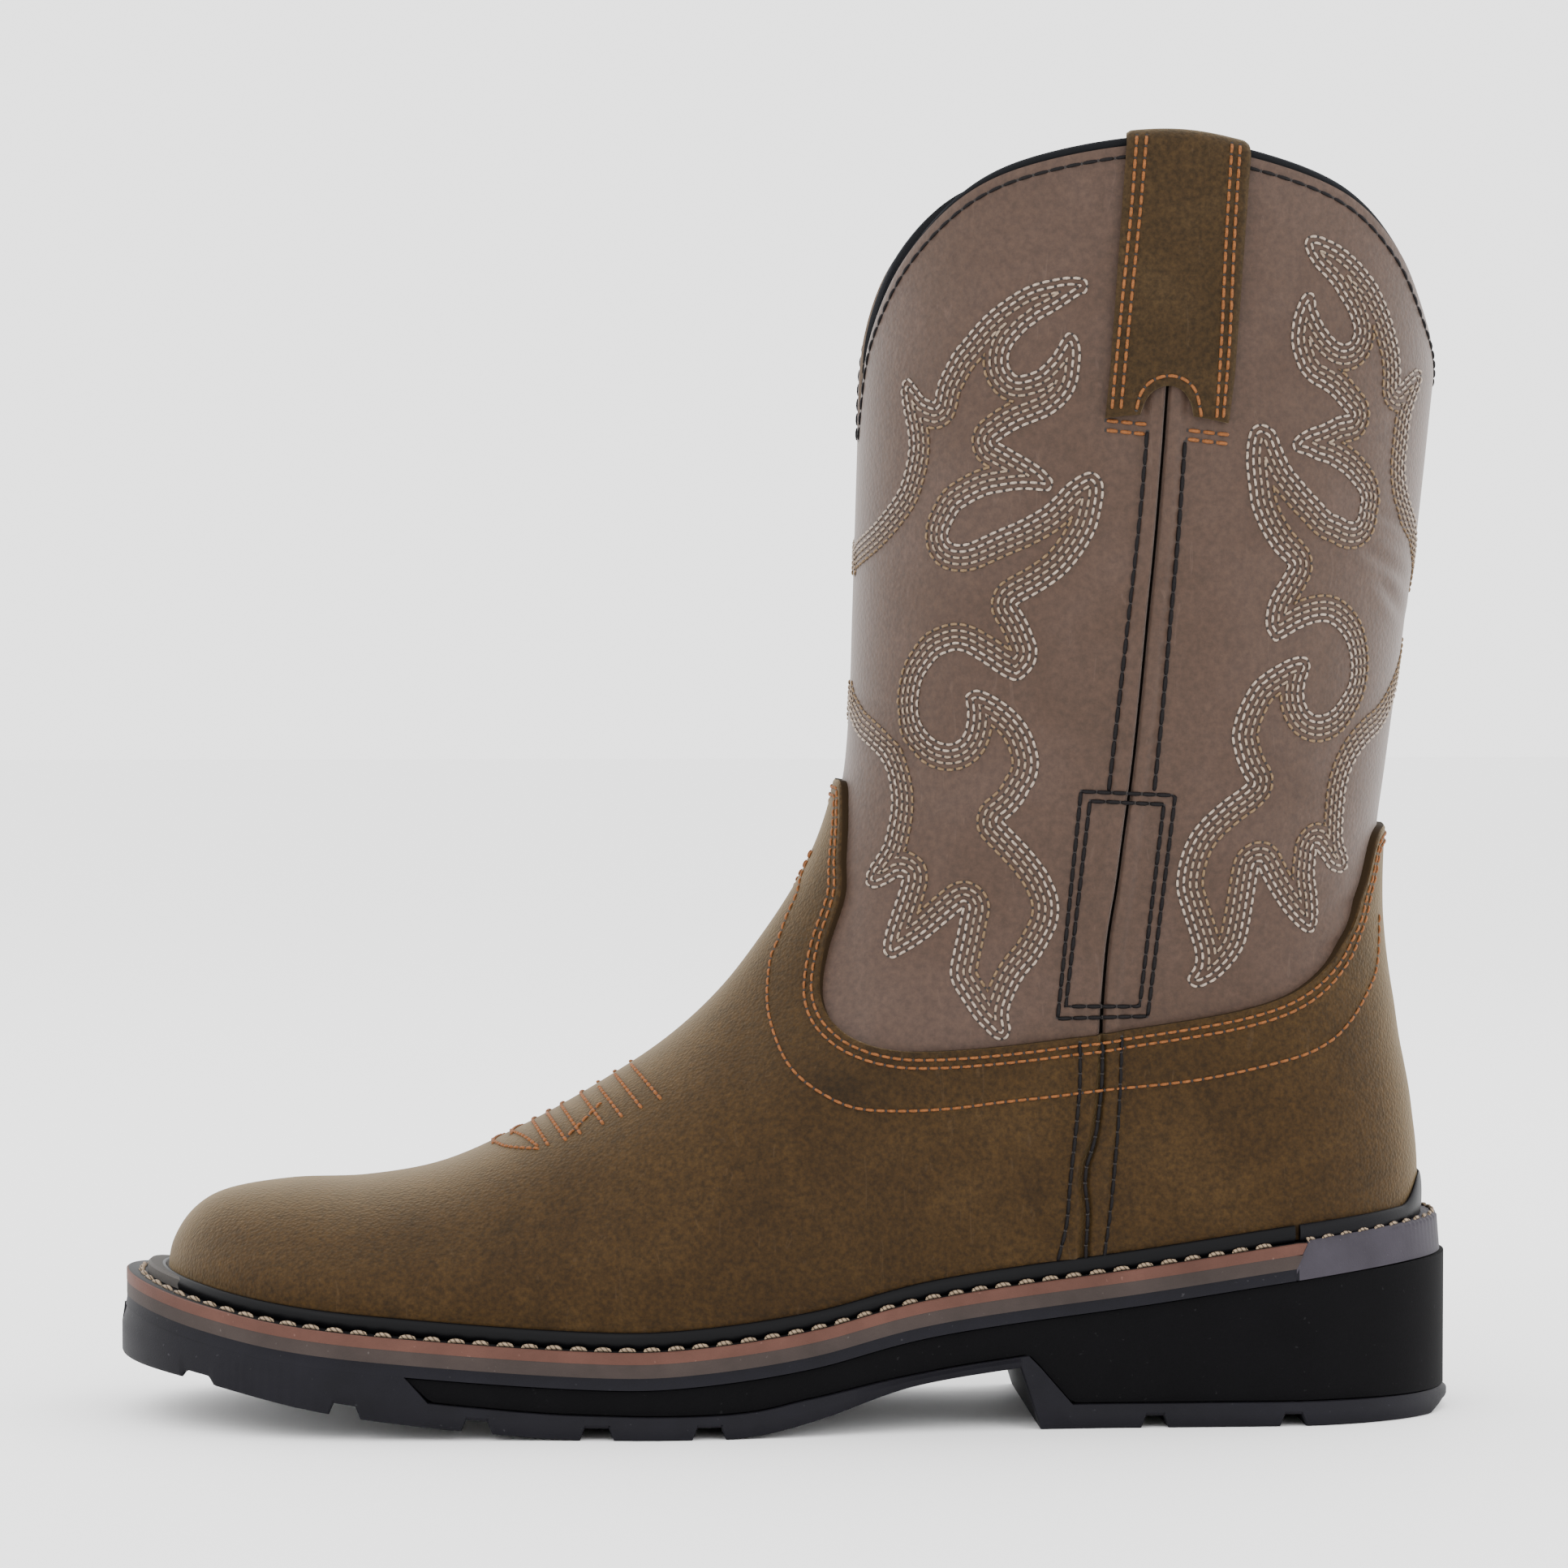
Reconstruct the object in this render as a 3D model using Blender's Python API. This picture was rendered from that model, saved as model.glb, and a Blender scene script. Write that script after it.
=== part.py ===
"""Western work boot, the left one of a pair, standing on its sole.

Toe towards -X, heel towards +X, outer side towards -Y, up is +Z, floor at Z = 0.
Lengths are in metres. The origin is on the floor, in the middle of the heel's flat face.
"""
import bmesh
import bpy
import math
import numpy as np

# Sole: length, widths and heights
SOLE_LENGTH = 0.312
BALL_WIDTH = 0.112
HEEL_WIDTH = 0.082
HEEL_LENGTH = 0.0985
FOREPART_THICKNESS = 0.0201
TOE_SPRING = 0.014
ARCH_RISE = 0.0150
HEEL_LIFT = 0.0262
TOE_ROUND = 0.060
HEEL_ROUND = 0.043
TOE_SWING = 0.005

# Sole: layers from the top down
WELT_THICKNESS = 0.0028
MIDSOLE_THICKNESS = 0.0026
FRAME_THICKNESS = 0.0027
TREAD_BAND = 0.0055
SHANK_BAND = 0.0024
SOLE_FLARE = 0.0024
CORE_RECESS = 0.0026
HEEL_RECESS = 0.0008
BREAST_SLOPE = 0.0048
BREAST_WALL = 0.0075
BAND_LEAD = 0.0020
REAR_BEVEL = 0.0040
CORE_START = 0.066
CORE_SLANT = 0.0055
STRIPE_END = 0.0385
STRIPE_SLANT = 0.0028
INSOLE_RISE = 0.0030
GROOVE_DEPTH = 0.0028
GROOVE_WIDTH = 0.0058
HEEL_GROOVE_WIDTH = 0.0041
CHANNEL_WIDTH = 0.0070
CHANNEL_SHARE = 0.8
CUTTER_OVERRUN = 1.4
WELT_END_SHARE = 0.4

# Cross grooves of the tread: shares of the sole's length, then of the heel's length
FORE_GROOVES = (0.058, 0.168, 0.265, 0.353, 0.436)
HEEL_GROOVES = (0.27, 0.60)
CHANNEL_ENDS = (0.10, 0.47)
ORIGIN_ALONG = SOLE_LENGTH - HEEL_LENGTH * (1 - sum(HEEL_GROOVES) / 2)

# Upper: heights of the form, collar and leathers
INSTEP_HEIGHT = 0.151
COLLAR_FRONT = 0.2293
COLLAR_BACK = 0.2440
COLLAR_SIDE = 0.2970
SHAFT_DEPTH = 0.1365
SHAFT_WIDTH = 0.1030
ANKLE_WIDTH = 0.0760
TOE_MARGIN = 0.0120
SIDE_MARGIN = 0.0096
HEEL_MARGIN = 0.0074
WALL = 0.0020
BULGE_HEIGHT = 0.070
OVER_RUN = 0.001
OVER_RISE = 0.010
FOOT_LEATHER = 0.0018
SEAM_WIDTH = 0.0084
SEAM_RAISE = 0.0009

# Rand, heel spur and pull straps
RAND_WIDTH = 0.0026
RAND_HEIGHT = 0.0038
SPUR_HEIGHT = 0.0060
SPUR_WIDTH = 0.034
STRAP_WIDTH = 0.0285
STRAP_LENGTH = 0.0618
STRAP_THICKNESS = 0.0018
STRAP_ARCH = 0.0065
STRAP_ARCH_SHARE = 0.42
ARCH_COVER = 0.4
STRAP_LEAN = 0.05
STRAP_CLEARANCE = 0.0004
LEAN_CLEARANCE = 0.0006
SEAM_SLIT = 0.0020
RAND_SLIT = 0.006
GAP = 0.0003
SEAT_GAP = 0.0005
END_REACH = 0.022

# Sides of the sole before its ends are rounded: name, along, outer and inner half width
SOLE_SIDES = (
    ("toe", 0.00, 0.500 * BALL_WIDTH, 0.480 * BALL_WIDTH),
    ("inner ball", 0.30, 0.495 * BALL_WIDTH, 0.487 * BALL_WIDTH),
    ("outer ball", 0.40, 0.513 * BALL_WIDTH, 0.450 * BALL_WIDTH),
    ("fore waist", 0.50, 0.482 * BALL_WIDTH, 0.372 * BALL_WIDTH),
    ("waist", 0.60, 0.420 * BALL_WIDTH, 0.318 * BALL_WIDTH),
    ("breast", 0.70, 0.520 * HEEL_WIDTH, 0.445 * HEEL_WIDTH),
    ("heel", 0.82, 0.508 * HEEL_WIDTH, 0.480 * HEEL_WIDTH),
    ("back", 1.00, 0.500 * HEEL_WIDTH, 0.490 * HEEL_WIDTH),
)

# Top of the welt over the floor: along the sole, then height
WELT_LINE = (
    (0.000, FOREPART_THICKNESS + 1.000 * TOE_SPRING),
    (0.061, FOREPART_THICKNESS + 0.670 * TOE_SPRING),
    (0.138, FOREPART_THICKNESS + 0.386 * TOE_SPRING),
    (0.272, FOREPART_THICKNESS + 0.110 * TOE_SPRING),
    (0.365, FOREPART_THICKNESS),
    (0.433, FOREPART_THICKNESS + 0.034 * HEEL_LIFT),
    (0.513, FOREPART_THICKNESS + 0.163 * HEEL_LIFT),
    (0.606, FOREPART_THICKNESS + 0.410 * HEEL_LIFT),
    (0.756, FOREPART_THICKNESS + 0.640 * HEEL_LIFT),
    (0.881, FOREPART_THICKNESS + 0.862 * HEEL_LIFT),
    (0.955, FOREPART_THICKNESS + 0.965 * HEEL_LIFT),
    (1.000, FOREPART_THICKNESS + 1.000 * HEEL_LIFT),
)

# Under side of the tread in front of the heel: share of the way to the breast, then height
TREAD_LINE = (
    (0.000, 1.000 * TOE_SPRING),
    (0.089, 0.836 * TOE_SPRING),
    (0.202, 0.500 * TOE_SPRING),
    (0.300, 0.280 * TOE_SPRING),
    (0.400, 0.110 * TOE_SPRING),
    (0.500, 0.0),
    (0.660, 0.0),
    (0.750, 0.233 * ARCH_RISE),
    (0.860, 0.713 * ARCH_RISE),
    (1.000, 1.000 * ARCH_RISE),
)

# Sections of the upper's form: name, front point along and up, back point along and up.
# Along is a share of the sole's length. Up is a share of the instep height on the foot
# and, above the ankle, of the way from the instep height to the collar.
FOOT_SECTIONS = (
    ("feather", 0.0385, None, 0.9763, None),
    ("toe wall", 0.0420, 0.262, 0.9770, 0.345),
    ("toe shoulder", 0.0570, 0.313, 0.9768, 0.384),
    ("toe top", 0.0820, 0.344, 0.9755, 0.421),
    ("toe rear", 0.1280, 0.362, 0.9733, 0.457),
    ("vamp start", 0.1850, 0.366, 0.9708, 0.497),
    ("vamp", 0.2440, 0.386, 0.9673, 0.536),
    ("fore instep", 0.3040, 0.437, 0.9628, 0.583),
    ("ball ridge", 0.3620, 0.500, 0.9590, 0.636),
    ("instep", 0.4130, 0.569, 0.9548, 0.689),
    ("high instep", 0.4545, 0.647, 0.9516, 0.742),
    ("throat", 0.4880, 0.735, 0.9498, 0.795),
    ("tongue", 0.5165, 0.826, 0.9498, 0.854),
    ("tongue tip", 0.5355, 0.914, 0.9516, 0.921),
    ("ankle", 0.5455, 1.000, 0.9568, 1.000),
)
SHAFT_SECTIONS = (
    ("low shaft", 0.5500, 0.22, 0.9644, 0.19),
    ("mid shaft", 0.5520, 0.47, 0.9728, 0.40),
    ("high shaft", 0.5540, 0.73, 0.9817, 0.62),
    ("collar", 0.5560, 1.00, 0.9935, 1.00),
)

# Half widths of the shaft: height as a share of the collar side's, then share of the width
SHAFT_WIDTHS = (
    (0.15, 0.470 * ANKLE_WIDTH),
    (0.28, 0.485 * ANKLE_WIDTH),
    (0.36, 0.500 * ANKLE_WIDTH),
    (0.46, 0.420 * SHAFT_WIDTH),
    (0.58, 0.458 * SHAFT_WIDTH),
    (0.75, 0.487 * SHAFT_WIDTH),
    (1.00, 0.500 * SHAFT_WIDTH),
)

# Top edge of vamp and counter: degrees round from the front, then share of the rings
VAMP_LINE = (
    (0.0, 0.770),
    (9.0, 0.768),
    (15.0, 0.740),
    (23.0, 0.695),
    (30.0, 0.660),
    (35.0, 0.612),
    (42.0, 0.566),
    (52.0, 0.529),
    (64.0, 0.504),
    (80.0, 0.495),
    (104.0, 0.496),
    (126.0, 0.500),
    (138.0, 0.522),
    (148.0, 0.577),
    (156.0, 0.655),
    (163.0, 0.712),
    (180.0, 0.722),
)

# Side seam: share of the rings, then degrees round from the front
SEAM_LINE = (
    (0.00, 116.8),
    (0.12, 116.0),
    (0.25, 112.5),
    (0.39, 106.8),
    (0.53, 98.2),
    (0.65, 92.5),
    (0.78, 89.5),
    (1.00, 90.0),
)

# Collar: degrees round from the front, then share of the way from its dips to its side peak
COLLAR_LINE = (
    (0.0, 0.000),
    (8.0, 0.300),
    (16.0, 0.470),
    (30.0, 0.700),
    (48.0, 0.905),
    (66.0, 0.988),
    (88.0, 1.000),
    (106.0, 0.910),
    (128.0, 0.735),
    (145.0, 0.500),
    (160.0, 0.235),
    (180.0, 0.000),
)

# Mesh density of the upper: columns on each side, rows on the foot and on the shaft
VAMP_COLUMNS = 13
COUNTER_COLUMNS = 9
FOOT_ROWS = (0.0, 0.05, 0.10, 0.155, 0.22, 0.29, 0.37, 0.46, 0.56, 0.67, 0.78, 0.89, 1.0)
SHAFT_ROWS = 9
SPUR_COLUMNS = np.array((0.03, 0.09, 0.16, 0.24))
ANKLE_SHARE = (len(FOOT_SECTIONS) - 1) / (len(FOOT_SECTIONS) + len(SHAFT_SECTIONS) - 1)
FORM_POWER = 2.15
SOLE_POWER = 2.05


def smooth_line(rows, steps=24):
    """A smooth curve through the rows, as a dense table with the same columns."""
    rows = np.array(rows, float)
    ahead = np.vstack([rows[1:], 2 * rows[-1:] - rows[-2:-1]])
    behind = np.vstack([2 * rows[:1] - rows[1:2], rows[:-1]])
    slope = (ahead - behind) / 2
    out = []
    for k in range(len(rows) - 1):
        for t in np.linspace(0, 1, steps, endpoint=False):
            a = 2 * t ** 3 - 3 * t ** 2 + 1
            b = t ** 3 - 2 * t ** 2 + t
            c = 3 * t ** 2 - 2 * t ** 3
            d = t ** 3 - t ** 2
            out.append(a * rows[k] + b * slope[k] + c * rows[k + 1] + d * slope[k + 1])
    out.append(rows[-1])
    return np.array(out)


def ease(t):
    """A soft step from 0 to 1."""
    t = np.clip(t, 0, 1)
    return t * t * (3 - 2 * t)


def rounding(t, power):
    """Share of the full width at depth t into a rounded end, 1 from t = 1 on."""
    t = np.clip(t, 0, 1)
    return (1 - (1 - t) ** power) ** (1 / power)


WELT_CURVE = smooth_line(WELT_LINE)
TREAD_CURVE = smooth_line(TREAD_LINE)
SIDE_CURVE = smooth_line([row[1:] for row in SOLE_SIDES])
BREAST = SOLE_LENGTH - HEEL_LENGTH


def welt_top(along):
    return np.interp(along / SOLE_LENGTH, WELT_CURVE[:, 0], WELT_CURVE[:, 1])


def margin(along):
    """How far the upper's form stands inside the sole's edge."""
    rows = ((0.0, TOE_MARGIN), (0.30 * SOLE_LENGTH, SIDE_MARGIN),
            (0.70 * SOLE_LENGTH, SIDE_MARGIN * 0.85), (SOLE_LENGTH, HEEL_MARGIN))
    return np.interp(along, [r[0] for r in rows], [r[1] for r in rows])


def swing(along):
    """Sideways curve of the forefoot towards the inner side."""
    reach = 0.36 * SOLE_LENGTH
    return TOE_SWING * np.clip(1 - along / reach, 0, 1) ** 2


def side_width(side, along):
    """Half width of the sole before its ends are rounded. Side is -1 outer, +1 inner."""
    share = along / SOLE_LENGTH
    outer = np.interp(share, SIDE_CURVE[:, 0], SIDE_CURVE[:, 1])
    inner = np.interp(share, SIDE_CURVE[:, 0], SIDE_CURVE[:, 2])
    return np.where(np.asarray(side) < 0, outer, inner)


def pressed(along, toe_inset, heel_inset):
    """Move a place on the sole's ends in by the insets, and leave the rest where it is."""
    along = np.asarray(along, float)
    toe = toe_inset + along * (END_REACH - toe_inset) / END_REACH
    left = SOLE_LENGTH - along
    heel = SOLE_LENGTH - heel_inset - left * (END_REACH - heel_inset) / END_REACH
    return np.where(along < END_REACH, toe, np.where(left < END_REACH, heel, along))


def sole_point(side, along, toe_inset, side_inset, heel_inset):
    """A point of the sole's outline, moved in by the insets: along and across."""
    along = float(pressed(along, toe_inset, heel_inset))
    nose = max((along - toe_inset) / (TOE_ROUND - toe_inset), 0.005)
    tail = max((SOLE_LENGTH - heel_inset - along) / (HEEL_ROUND - heel_inset), 0.012)
    half = float(side_width(side, along)) - side_inset
    half = half * float(rounding(nose, SOLE_POWER) * rounding(tail, SOLE_POWER))
    return along, float(swing(along)) + side * half


# Profiles of the form seen from the side
def form_rows():
    rows = []
    toe_start = FOOT_SECTIONS[0][1]
    for name, fa, fu, ba, bu in FOOT_SECTIONS:
        front = TOE_MARGIN + (fa - toe_start) * SOLE_LENGTH
        back = ba * SOLE_LENGTH
        front_up = welt_top(front) + SEAT_GAP if fu is None else fu * INSTEP_HEIGHT
        back_up = welt_top(back) + SEAT_GAP if bu is None else bu * INSTEP_HEIGHT
        rows.append((front, front_up, back, back_up))
    ankle_back = FOOT_SECTIONS[-1][3] * SOLE_LENGTH
    top_front = TOE_MARGIN + (SHAFT_SECTIONS[-1][1] - toe_start) * SOLE_LENGTH
    for name, fa, fu, ba, bu in SHAFT_SECTIONS:
        front = TOE_MARGIN + (fa - toe_start) * SOLE_LENGTH
        flare = (ba - FOOT_SECTIONS[-1][3]) / (SHAFT_SECTIONS[-1][3] - FOOT_SECTIONS[-1][3])
        back = ankle_back + flare * (top_front + SHAFT_DEPTH - ankle_back)
        rows.append((front, INSTEP_HEIGHT + fu * (COLLAR_FRONT - INSTEP_HEIGHT),
                     back, INSTEP_HEIGHT + bu * (COLLAR_BACK - INSTEP_HEIGHT)))
    return rows


FORM_CURVE = smooth_line(form_rows())
RING_SHARES = np.linspace(0, 1, len(FORM_CURVE))
OVER_FRONT = (FORM_CURVE[-1, 0] + OVER_RUN, COLLAR_SIDE + OVER_RISE)
OVER_BACK = (FORM_CURVE[-1, 2] + OVER_RUN, COLLAR_SIDE + OVER_RISE)
FRONT_LINE = np.vstack([FORM_CURVE[:, :2], OVER_FRONT])
BACK_LINE = np.vstack([FORM_CURVE[:, 2:], OVER_BACK])
WIDTH_CURVE = smooth_line(SHAFT_WIDTHS)
VAMP_CURVE = smooth_line(VAMP_LINE)
SEAM_CURVE = smooth_line(SEAM_LINE)
COLLAR_CURVE = smooth_line(COLLAR_LINE)


def half_width(side, along, up):
    """Half width of the form at a point of its side view."""
    foot = side_width(side, along) - margin(along)
    foot = foot * rounding((along - TOE_MARGIN) / (TOE_ROUND - TOE_MARGIN), SOLE_POWER)
    ridge = np.interp(along, FRONT_LINE[:, 0], FRONT_LINE[:, 1], right=9.0)
    floor = welt_top(along)
    tall = np.maximum(ridge - floor, 1e-4)
    rise = np.clip((up - floor) / np.minimum(tall, BULGE_HEIGHT), 0, 1)
    foot = foot * (1 + 0.035 * np.sin(math.pi * np.clip(rise * 1.5, 0, 1)))
    shaft = np.interp(up / COLLAR_SIDE, WIDTH_CURVE[:, 0], WIDTH_CURVE[:, 1])
    low = INSTEP_HEIGHT * 0.42
    high = INSTEP_HEIGHT * 0.95
    mix = ease((up - low) / (high - low))
    half = foot * (1 - mix) + shaft * mix
    # Round over to the ridge in front
    drop = np.maximum(ridge - up, 0)
    reach = np.maximum(along - np.interp(up, FRONT_LINE[:, 1], FRONT_LINE[:, 0]), 0)
    toe_top = INSTEP_HEIGHT * 0.38
    blend = ease((up - toe_top) / (INSTEP_HEIGHT * 0.30))
    reach = reach / np.maximum(blend, 1e-3)
    depth = drop * reach / np.sqrt(drop ** 2 + reach ** 2 + 1e-12)
    radius = np.minimum(0.85 * tall, SHAFT_DEPTH / 2)
    half = half * rounding(depth / radius, FORM_POWER)
    # Round over to the back
    back = np.interp(up, BACK_LINE[:, 1], BACK_LINE[:, 0])
    heel = HEEL_ROUND - HEEL_MARGIN
    tail = heel + (SHAFT_DEPTH / 2 - heel) * ease((up - low) / (COLLAR_BACK - low))
    return half * rounding((back - along) / tail, FORM_POWER)


def form_point(angle, ring):
    """A point of the upper's form. Angle runs from 0 in front to pi behind, minus on the
    outer side and plus on the inner side. Ring runs from 0 at the welt to 1 at the collar."""
    angle, ring = np.broadcast_arrays(np.asarray(angle, float), np.asarray(ring, float))
    side = np.where(angle < 0, -1.0, 1.0)
    turn = np.abs(angle)
    u = (1 - np.cos(turn)) / 2
    front, front_up, back, back_up = (np.interp(ring, RING_SHARES, FORM_CURVE[:, k])
                                      for k in range(4))
    # Foot rings: lines from front to back that follow the welt near the sole
    along = front + (back - front) * u
    share = np.clip((ring - ANKLE_SHARE) / (1 - ANKLE_SHARE), 0, 1)
    up = front_up + (back_up - front_up) * u ** (2 - share)
    lay = np.clip(1 - ring / (0.6 * ANKLE_SHARE), 0, 1) ** 1.4
    low_front = FORM_CURVE[0, 1]
    low_back = FORM_CURVE[0, 3]
    seat = welt_top(along) + SEAT_GAP - (low_front + (low_back - low_front) * u ** 2)
    up = up + seat * lay
    # Shaft rings: they rise at the sides to the collar's two peaks
    peak = COLLAR_SIDE - (COLLAR_FRONT + COLLAR_BACK) / 2
    rise = np.interp(np.degrees(turn), COLLAR_CURVE[:, 0], COLLAR_CURVE[:, 1])
    up = up + peak * share ** 1.4 * rise
    at_front = np.interp(up, FRONT_LINE[:, 1], FRONT_LINE[:, 0])
    at_back = np.interp(up, BACK_LINE[:, 1], BACK_LINE[:, 0])
    along = np.where(share > 0, at_front + (at_back - at_front) * u, along)
    half = half_width(side, along, up)
    half = np.where((turn < 1e-6) | (turn > math.pi - 1e-6), 0.0, half)
    return np.stack([along - ORIGIN_ALONG, swing(along) + side * half, up], -1)


def form_normal(angle, ring):
    """The way out of the form at a point."""
    step = 0.02
    low = np.clip(np.asarray(ring) - step / 2, 0, 1)
    high = np.clip(np.asarray(ring) + step / 2, 0, 1)
    wrap = lambda a: (np.asarray(a) + math.pi) % (2 * math.pi) - math.pi
    round_way = form_point(wrap(angle + step), ring) - form_point(wrap(angle - step), ring)
    up_way = form_point(angle, high) - form_point(angle, low)
    out = np.cross(up_way, round_way)
    return out / np.maximum(np.linalg.norm(out, axis=-1, keepdims=True), 1e-12)


def seam_angle(ring):
    return np.radians(np.interp(ring, SEAM_CURVE[:, 0], SEAM_CURVE[:, 1]))


def vamp_ring(angle):
    return np.interp(np.degrees(np.abs(angle)), VAMP_CURVE[:, 0], VAMP_CURVE[:, 1])


def leather_point(angle, ring, lift):
    """The form moved out by lift. Its lowest ring stays on the welt, its top one level."""
    normal = form_normal(angle, ring)
    lowest = np.asarray(ring) < 1e-6
    highest = np.asarray(ring) > 1 - 1e-6
    level = normal * np.array([1, 1, 0])
    level = level / np.maximum(np.linalg.norm(level, axis=-1, keepdims=True), 1e-12)
    normal = np.where((lowest | highest)[..., None], level, normal)
    points = form_point(angle, ring) + normal * np.asarray(lift)[..., None]
    seat = welt_top(points[..., 0] + ORIGIN_ALONG) + SEAT_GAP
    points[..., 2] = np.where(lowest, seat, points[..., 2])
    return points


def column_angle(column, ring):
    """Angle of a column: 0 in front, 1 on the side seam, 2 behind. Minus is outside."""
    seam = seam_angle(ring)
    turn = np.abs(column)
    front = turn * seam
    back = seam + (turn - 1) * (math.pi - seam)
    return np.where(np.asarray(column) < 0, -1.0, 1.0) * np.where(turn < 1, front, back)


def foot_ring(column, share):
    """Ring at a share of the way from the welt to the edge of vamp and counter."""
    ring = share * 0.5
    for step in range(12):
        ring = share * vamp_ring(column_angle(column, ring))
    return ring


# Collections and materials
def clear_scene():
    for item in list(bpy.data.objects):
        bpy.data.objects.remove(item, do_unlink=True)


def collection(name):
    found = bpy.data.collections.get(name) or bpy.data.collections.new(name)
    if name not in [c.name for c in bpy.context.scene.collection.children]:
        bpy.context.scene.collection.children.link(found)
    return found


def material(name, colour, rough):
    found = bpy.data.materials.new(name)
    found.use_nodes = True
    shader = found.node_tree.nodes["Principled BSDF"]
    shader.inputs["Base Color"].default_value = (*colour, 1)
    shader.inputs["Roughness"].default_value = rough
    shader.inputs["Metallic"].default_value = 0.0
    found.diffuse_color = (*colour, 1)
    return found


def add_mesh(name, points, faces, finish, group):
    mesh = bpy.data.meshes.new(name)
    mesh.from_pydata([tuple(p) for p in points], [], faces)
    work = bmesh.new()
    work.from_mesh(mesh)
    bmesh.ops.recalc_face_normals(work, faces=work.faces)
    work.to_mesh(mesh)
    work.free()
    item = bpy.data.objects.new(name, mesh)
    group.objects.link(item)
    if finish:
        mesh.materials.append(finish)
        mesh.shade_smooth()
        mesh.set_sharp_from_angle(angle=math.radians(35))
    return item


def loft(name, sections, finish, group):
    """A closed solid through sections of the same number of points, with flat ends."""
    rows, around = sections.shape[:2]
    faces = []
    for k in range(rows - 1):
        for j in range(around):
            n = (j + 1) % around
            faces.append((k * around + j, k * around + n,
                          (k + 1) * around + n, (k + 1) * around + j))
    faces.append(tuple(range(around)))
    faces.append(tuple((rows - 1) * around + j for j in range(around)))
    return add_mesh(name, sections.reshape(-1, 3), faces, finish, group)


def shell(name, outer, inner, wrap, finish, group):
    """A wall between two sheets of points, joined along its edges."""
    rows, cols = outer.shape[:2]
    count = rows * cols
    faces = []
    spans = cols if wrap else cols - 1
    for k in range(rows - 1):
        for j in range(spans):
            n = (j + 1) % cols
            a, b, c, d = k * cols + j, k * cols + n, (k + 1) * cols + n, (k + 1) * cols + j
            faces += [(a, b, c), (a, c, d)]
            faces += [(count + a, count + c, count + b), (count + a, count + d, count + c)]
    for k in (0, rows - 1):
        for j in range(spans):
            n = (j + 1) % cols
            faces.append((k * cols + j, k * cols + n, count + k * cols + n, count + k * cols + j))
    if not wrap:
        for j in (0, cols - 1):
            for k in range(rows - 1):
                a, b = k * cols + j, (k + 1) * cols + j
                faces.append((a, b, count + b, count + a))
    return add_mesh(name, np.vstack([outer.reshape(-1, 3), inner.reshape(-1, 3)]),
                    faces, finish, group)


# Sole pieces
def sole_stations(start=0.0, end=SOLE_LENGTH):
    """Places along the sole where every layer has a section, closer at the round ends."""
    fixed = [CORE_START, CORE_START + CORE_SLANT, BREAST - BREAST_SLOPE,
             BREAST - BREAST_SLOPE + BAND_LEAD, BREAST, BREAST + BREAST_WALL,
             SOLE_LENGTH - STRIPE_END - STRIPE_SLANT, SOLE_LENGTH - STRIPE_END,
             SOLE_LENGTH - STRIPE_END + STRIPE_SLANT, SOLE_LENGTH - REAR_BEVEL]
    spread = 0.5 * (1 - np.cos(np.linspace(0, math.pi, 35))) * SOLE_LENGTH
    free = [a for a in spread if min(abs(a - f) for f in fixed) > 0.0015]
    places = [a for a in sorted(fixed + free) if start + 0.0004 < a < end - 0.0004]
    return [start] + places + [end]


def slab(name, stations, low, high, low_inset, high_inset, finish, group, back_inset=None):
    """A layer of the sole: its under and upper side follow two height lines."""
    sections = []
    for station in stations:
        corners = []
        for side, inset, line in ((-1, low_inset, low), (1, low_inset, low),
                                  (1, high_inset, high), (-1, high_inset, high)):
            back = inset if back_inset is None else back_inset
            along, across = sole_point(side, station, inset, inset, back)
            corners.append((along - ORIGIN_ALONG, across, float(line(along))))
        sections.append(corners)
    return loft(name, np.array(sections), finish, group)


def frame_top(along):
    """Top of the dark layer: under the stripes, and up to the seat behind them."""
    low = welt_top(along) - WELT_THICKNESS - MIDSOLE_THICKNESS - 2 * GAP
    edge = SOLE_LENGTH - STRIPE_END
    rise = np.clip((along - edge) / STRIPE_SLANT, 0, 1)
    return low + (welt_top(along) - low) * rise


def frame_bottom(along):
    return (welt_top(along) - WELT_THICKNESS - MIDSOLE_THICKNESS - FRAME_THICKNESS - 2 * GAP)


def tread_bottom(along):
    arch = np.maximum(np.interp(along / BREAST, TREAD_CURVE[:, 0], TREAD_CURVE[:, 1]), 0)
    fall = np.clip((along - BREAST + BREAST_SLOPE) / BREAST_SLOPE, 0, 1)
    bevel = np.clip((along - SOLE_LENGTH + REAR_BEVEL) / REAR_BEVEL, 0, 1) * REAR_BEVEL * 0.6
    return arch * (1 - fall) + bevel


def band_top(along):
    """Top of the tread's side band, which dives into the heel behind the breast."""
    thick = TREAD_BAND + (SHANK_BAND - TREAD_BAND) * ease((along / BREAST - 0.72) / 0.16)
    arch = np.interp(along / BREAST, TREAD_CURVE[:, 0], TREAD_CURVE[:, 1]) + thick
    start = BREAST - BREAST_SLOPE + BAND_LEAD
    fall = np.clip((along - start) / (BREAST_SLOPE + BREAST_WALL - BAND_LEAD), 0, 1)
    return arch * (1 - fall) + TREAD_BAND * fall


def tread_top(along):
    """The toe block reaches the dark layer, behind it the band lies under the core."""
    fall = np.clip((along - CORE_START) / CORE_SLANT, 0, 1)
    return (frame_bottom(along) - GAP) * (1 - fall) + band_top(along) * fall


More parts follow.
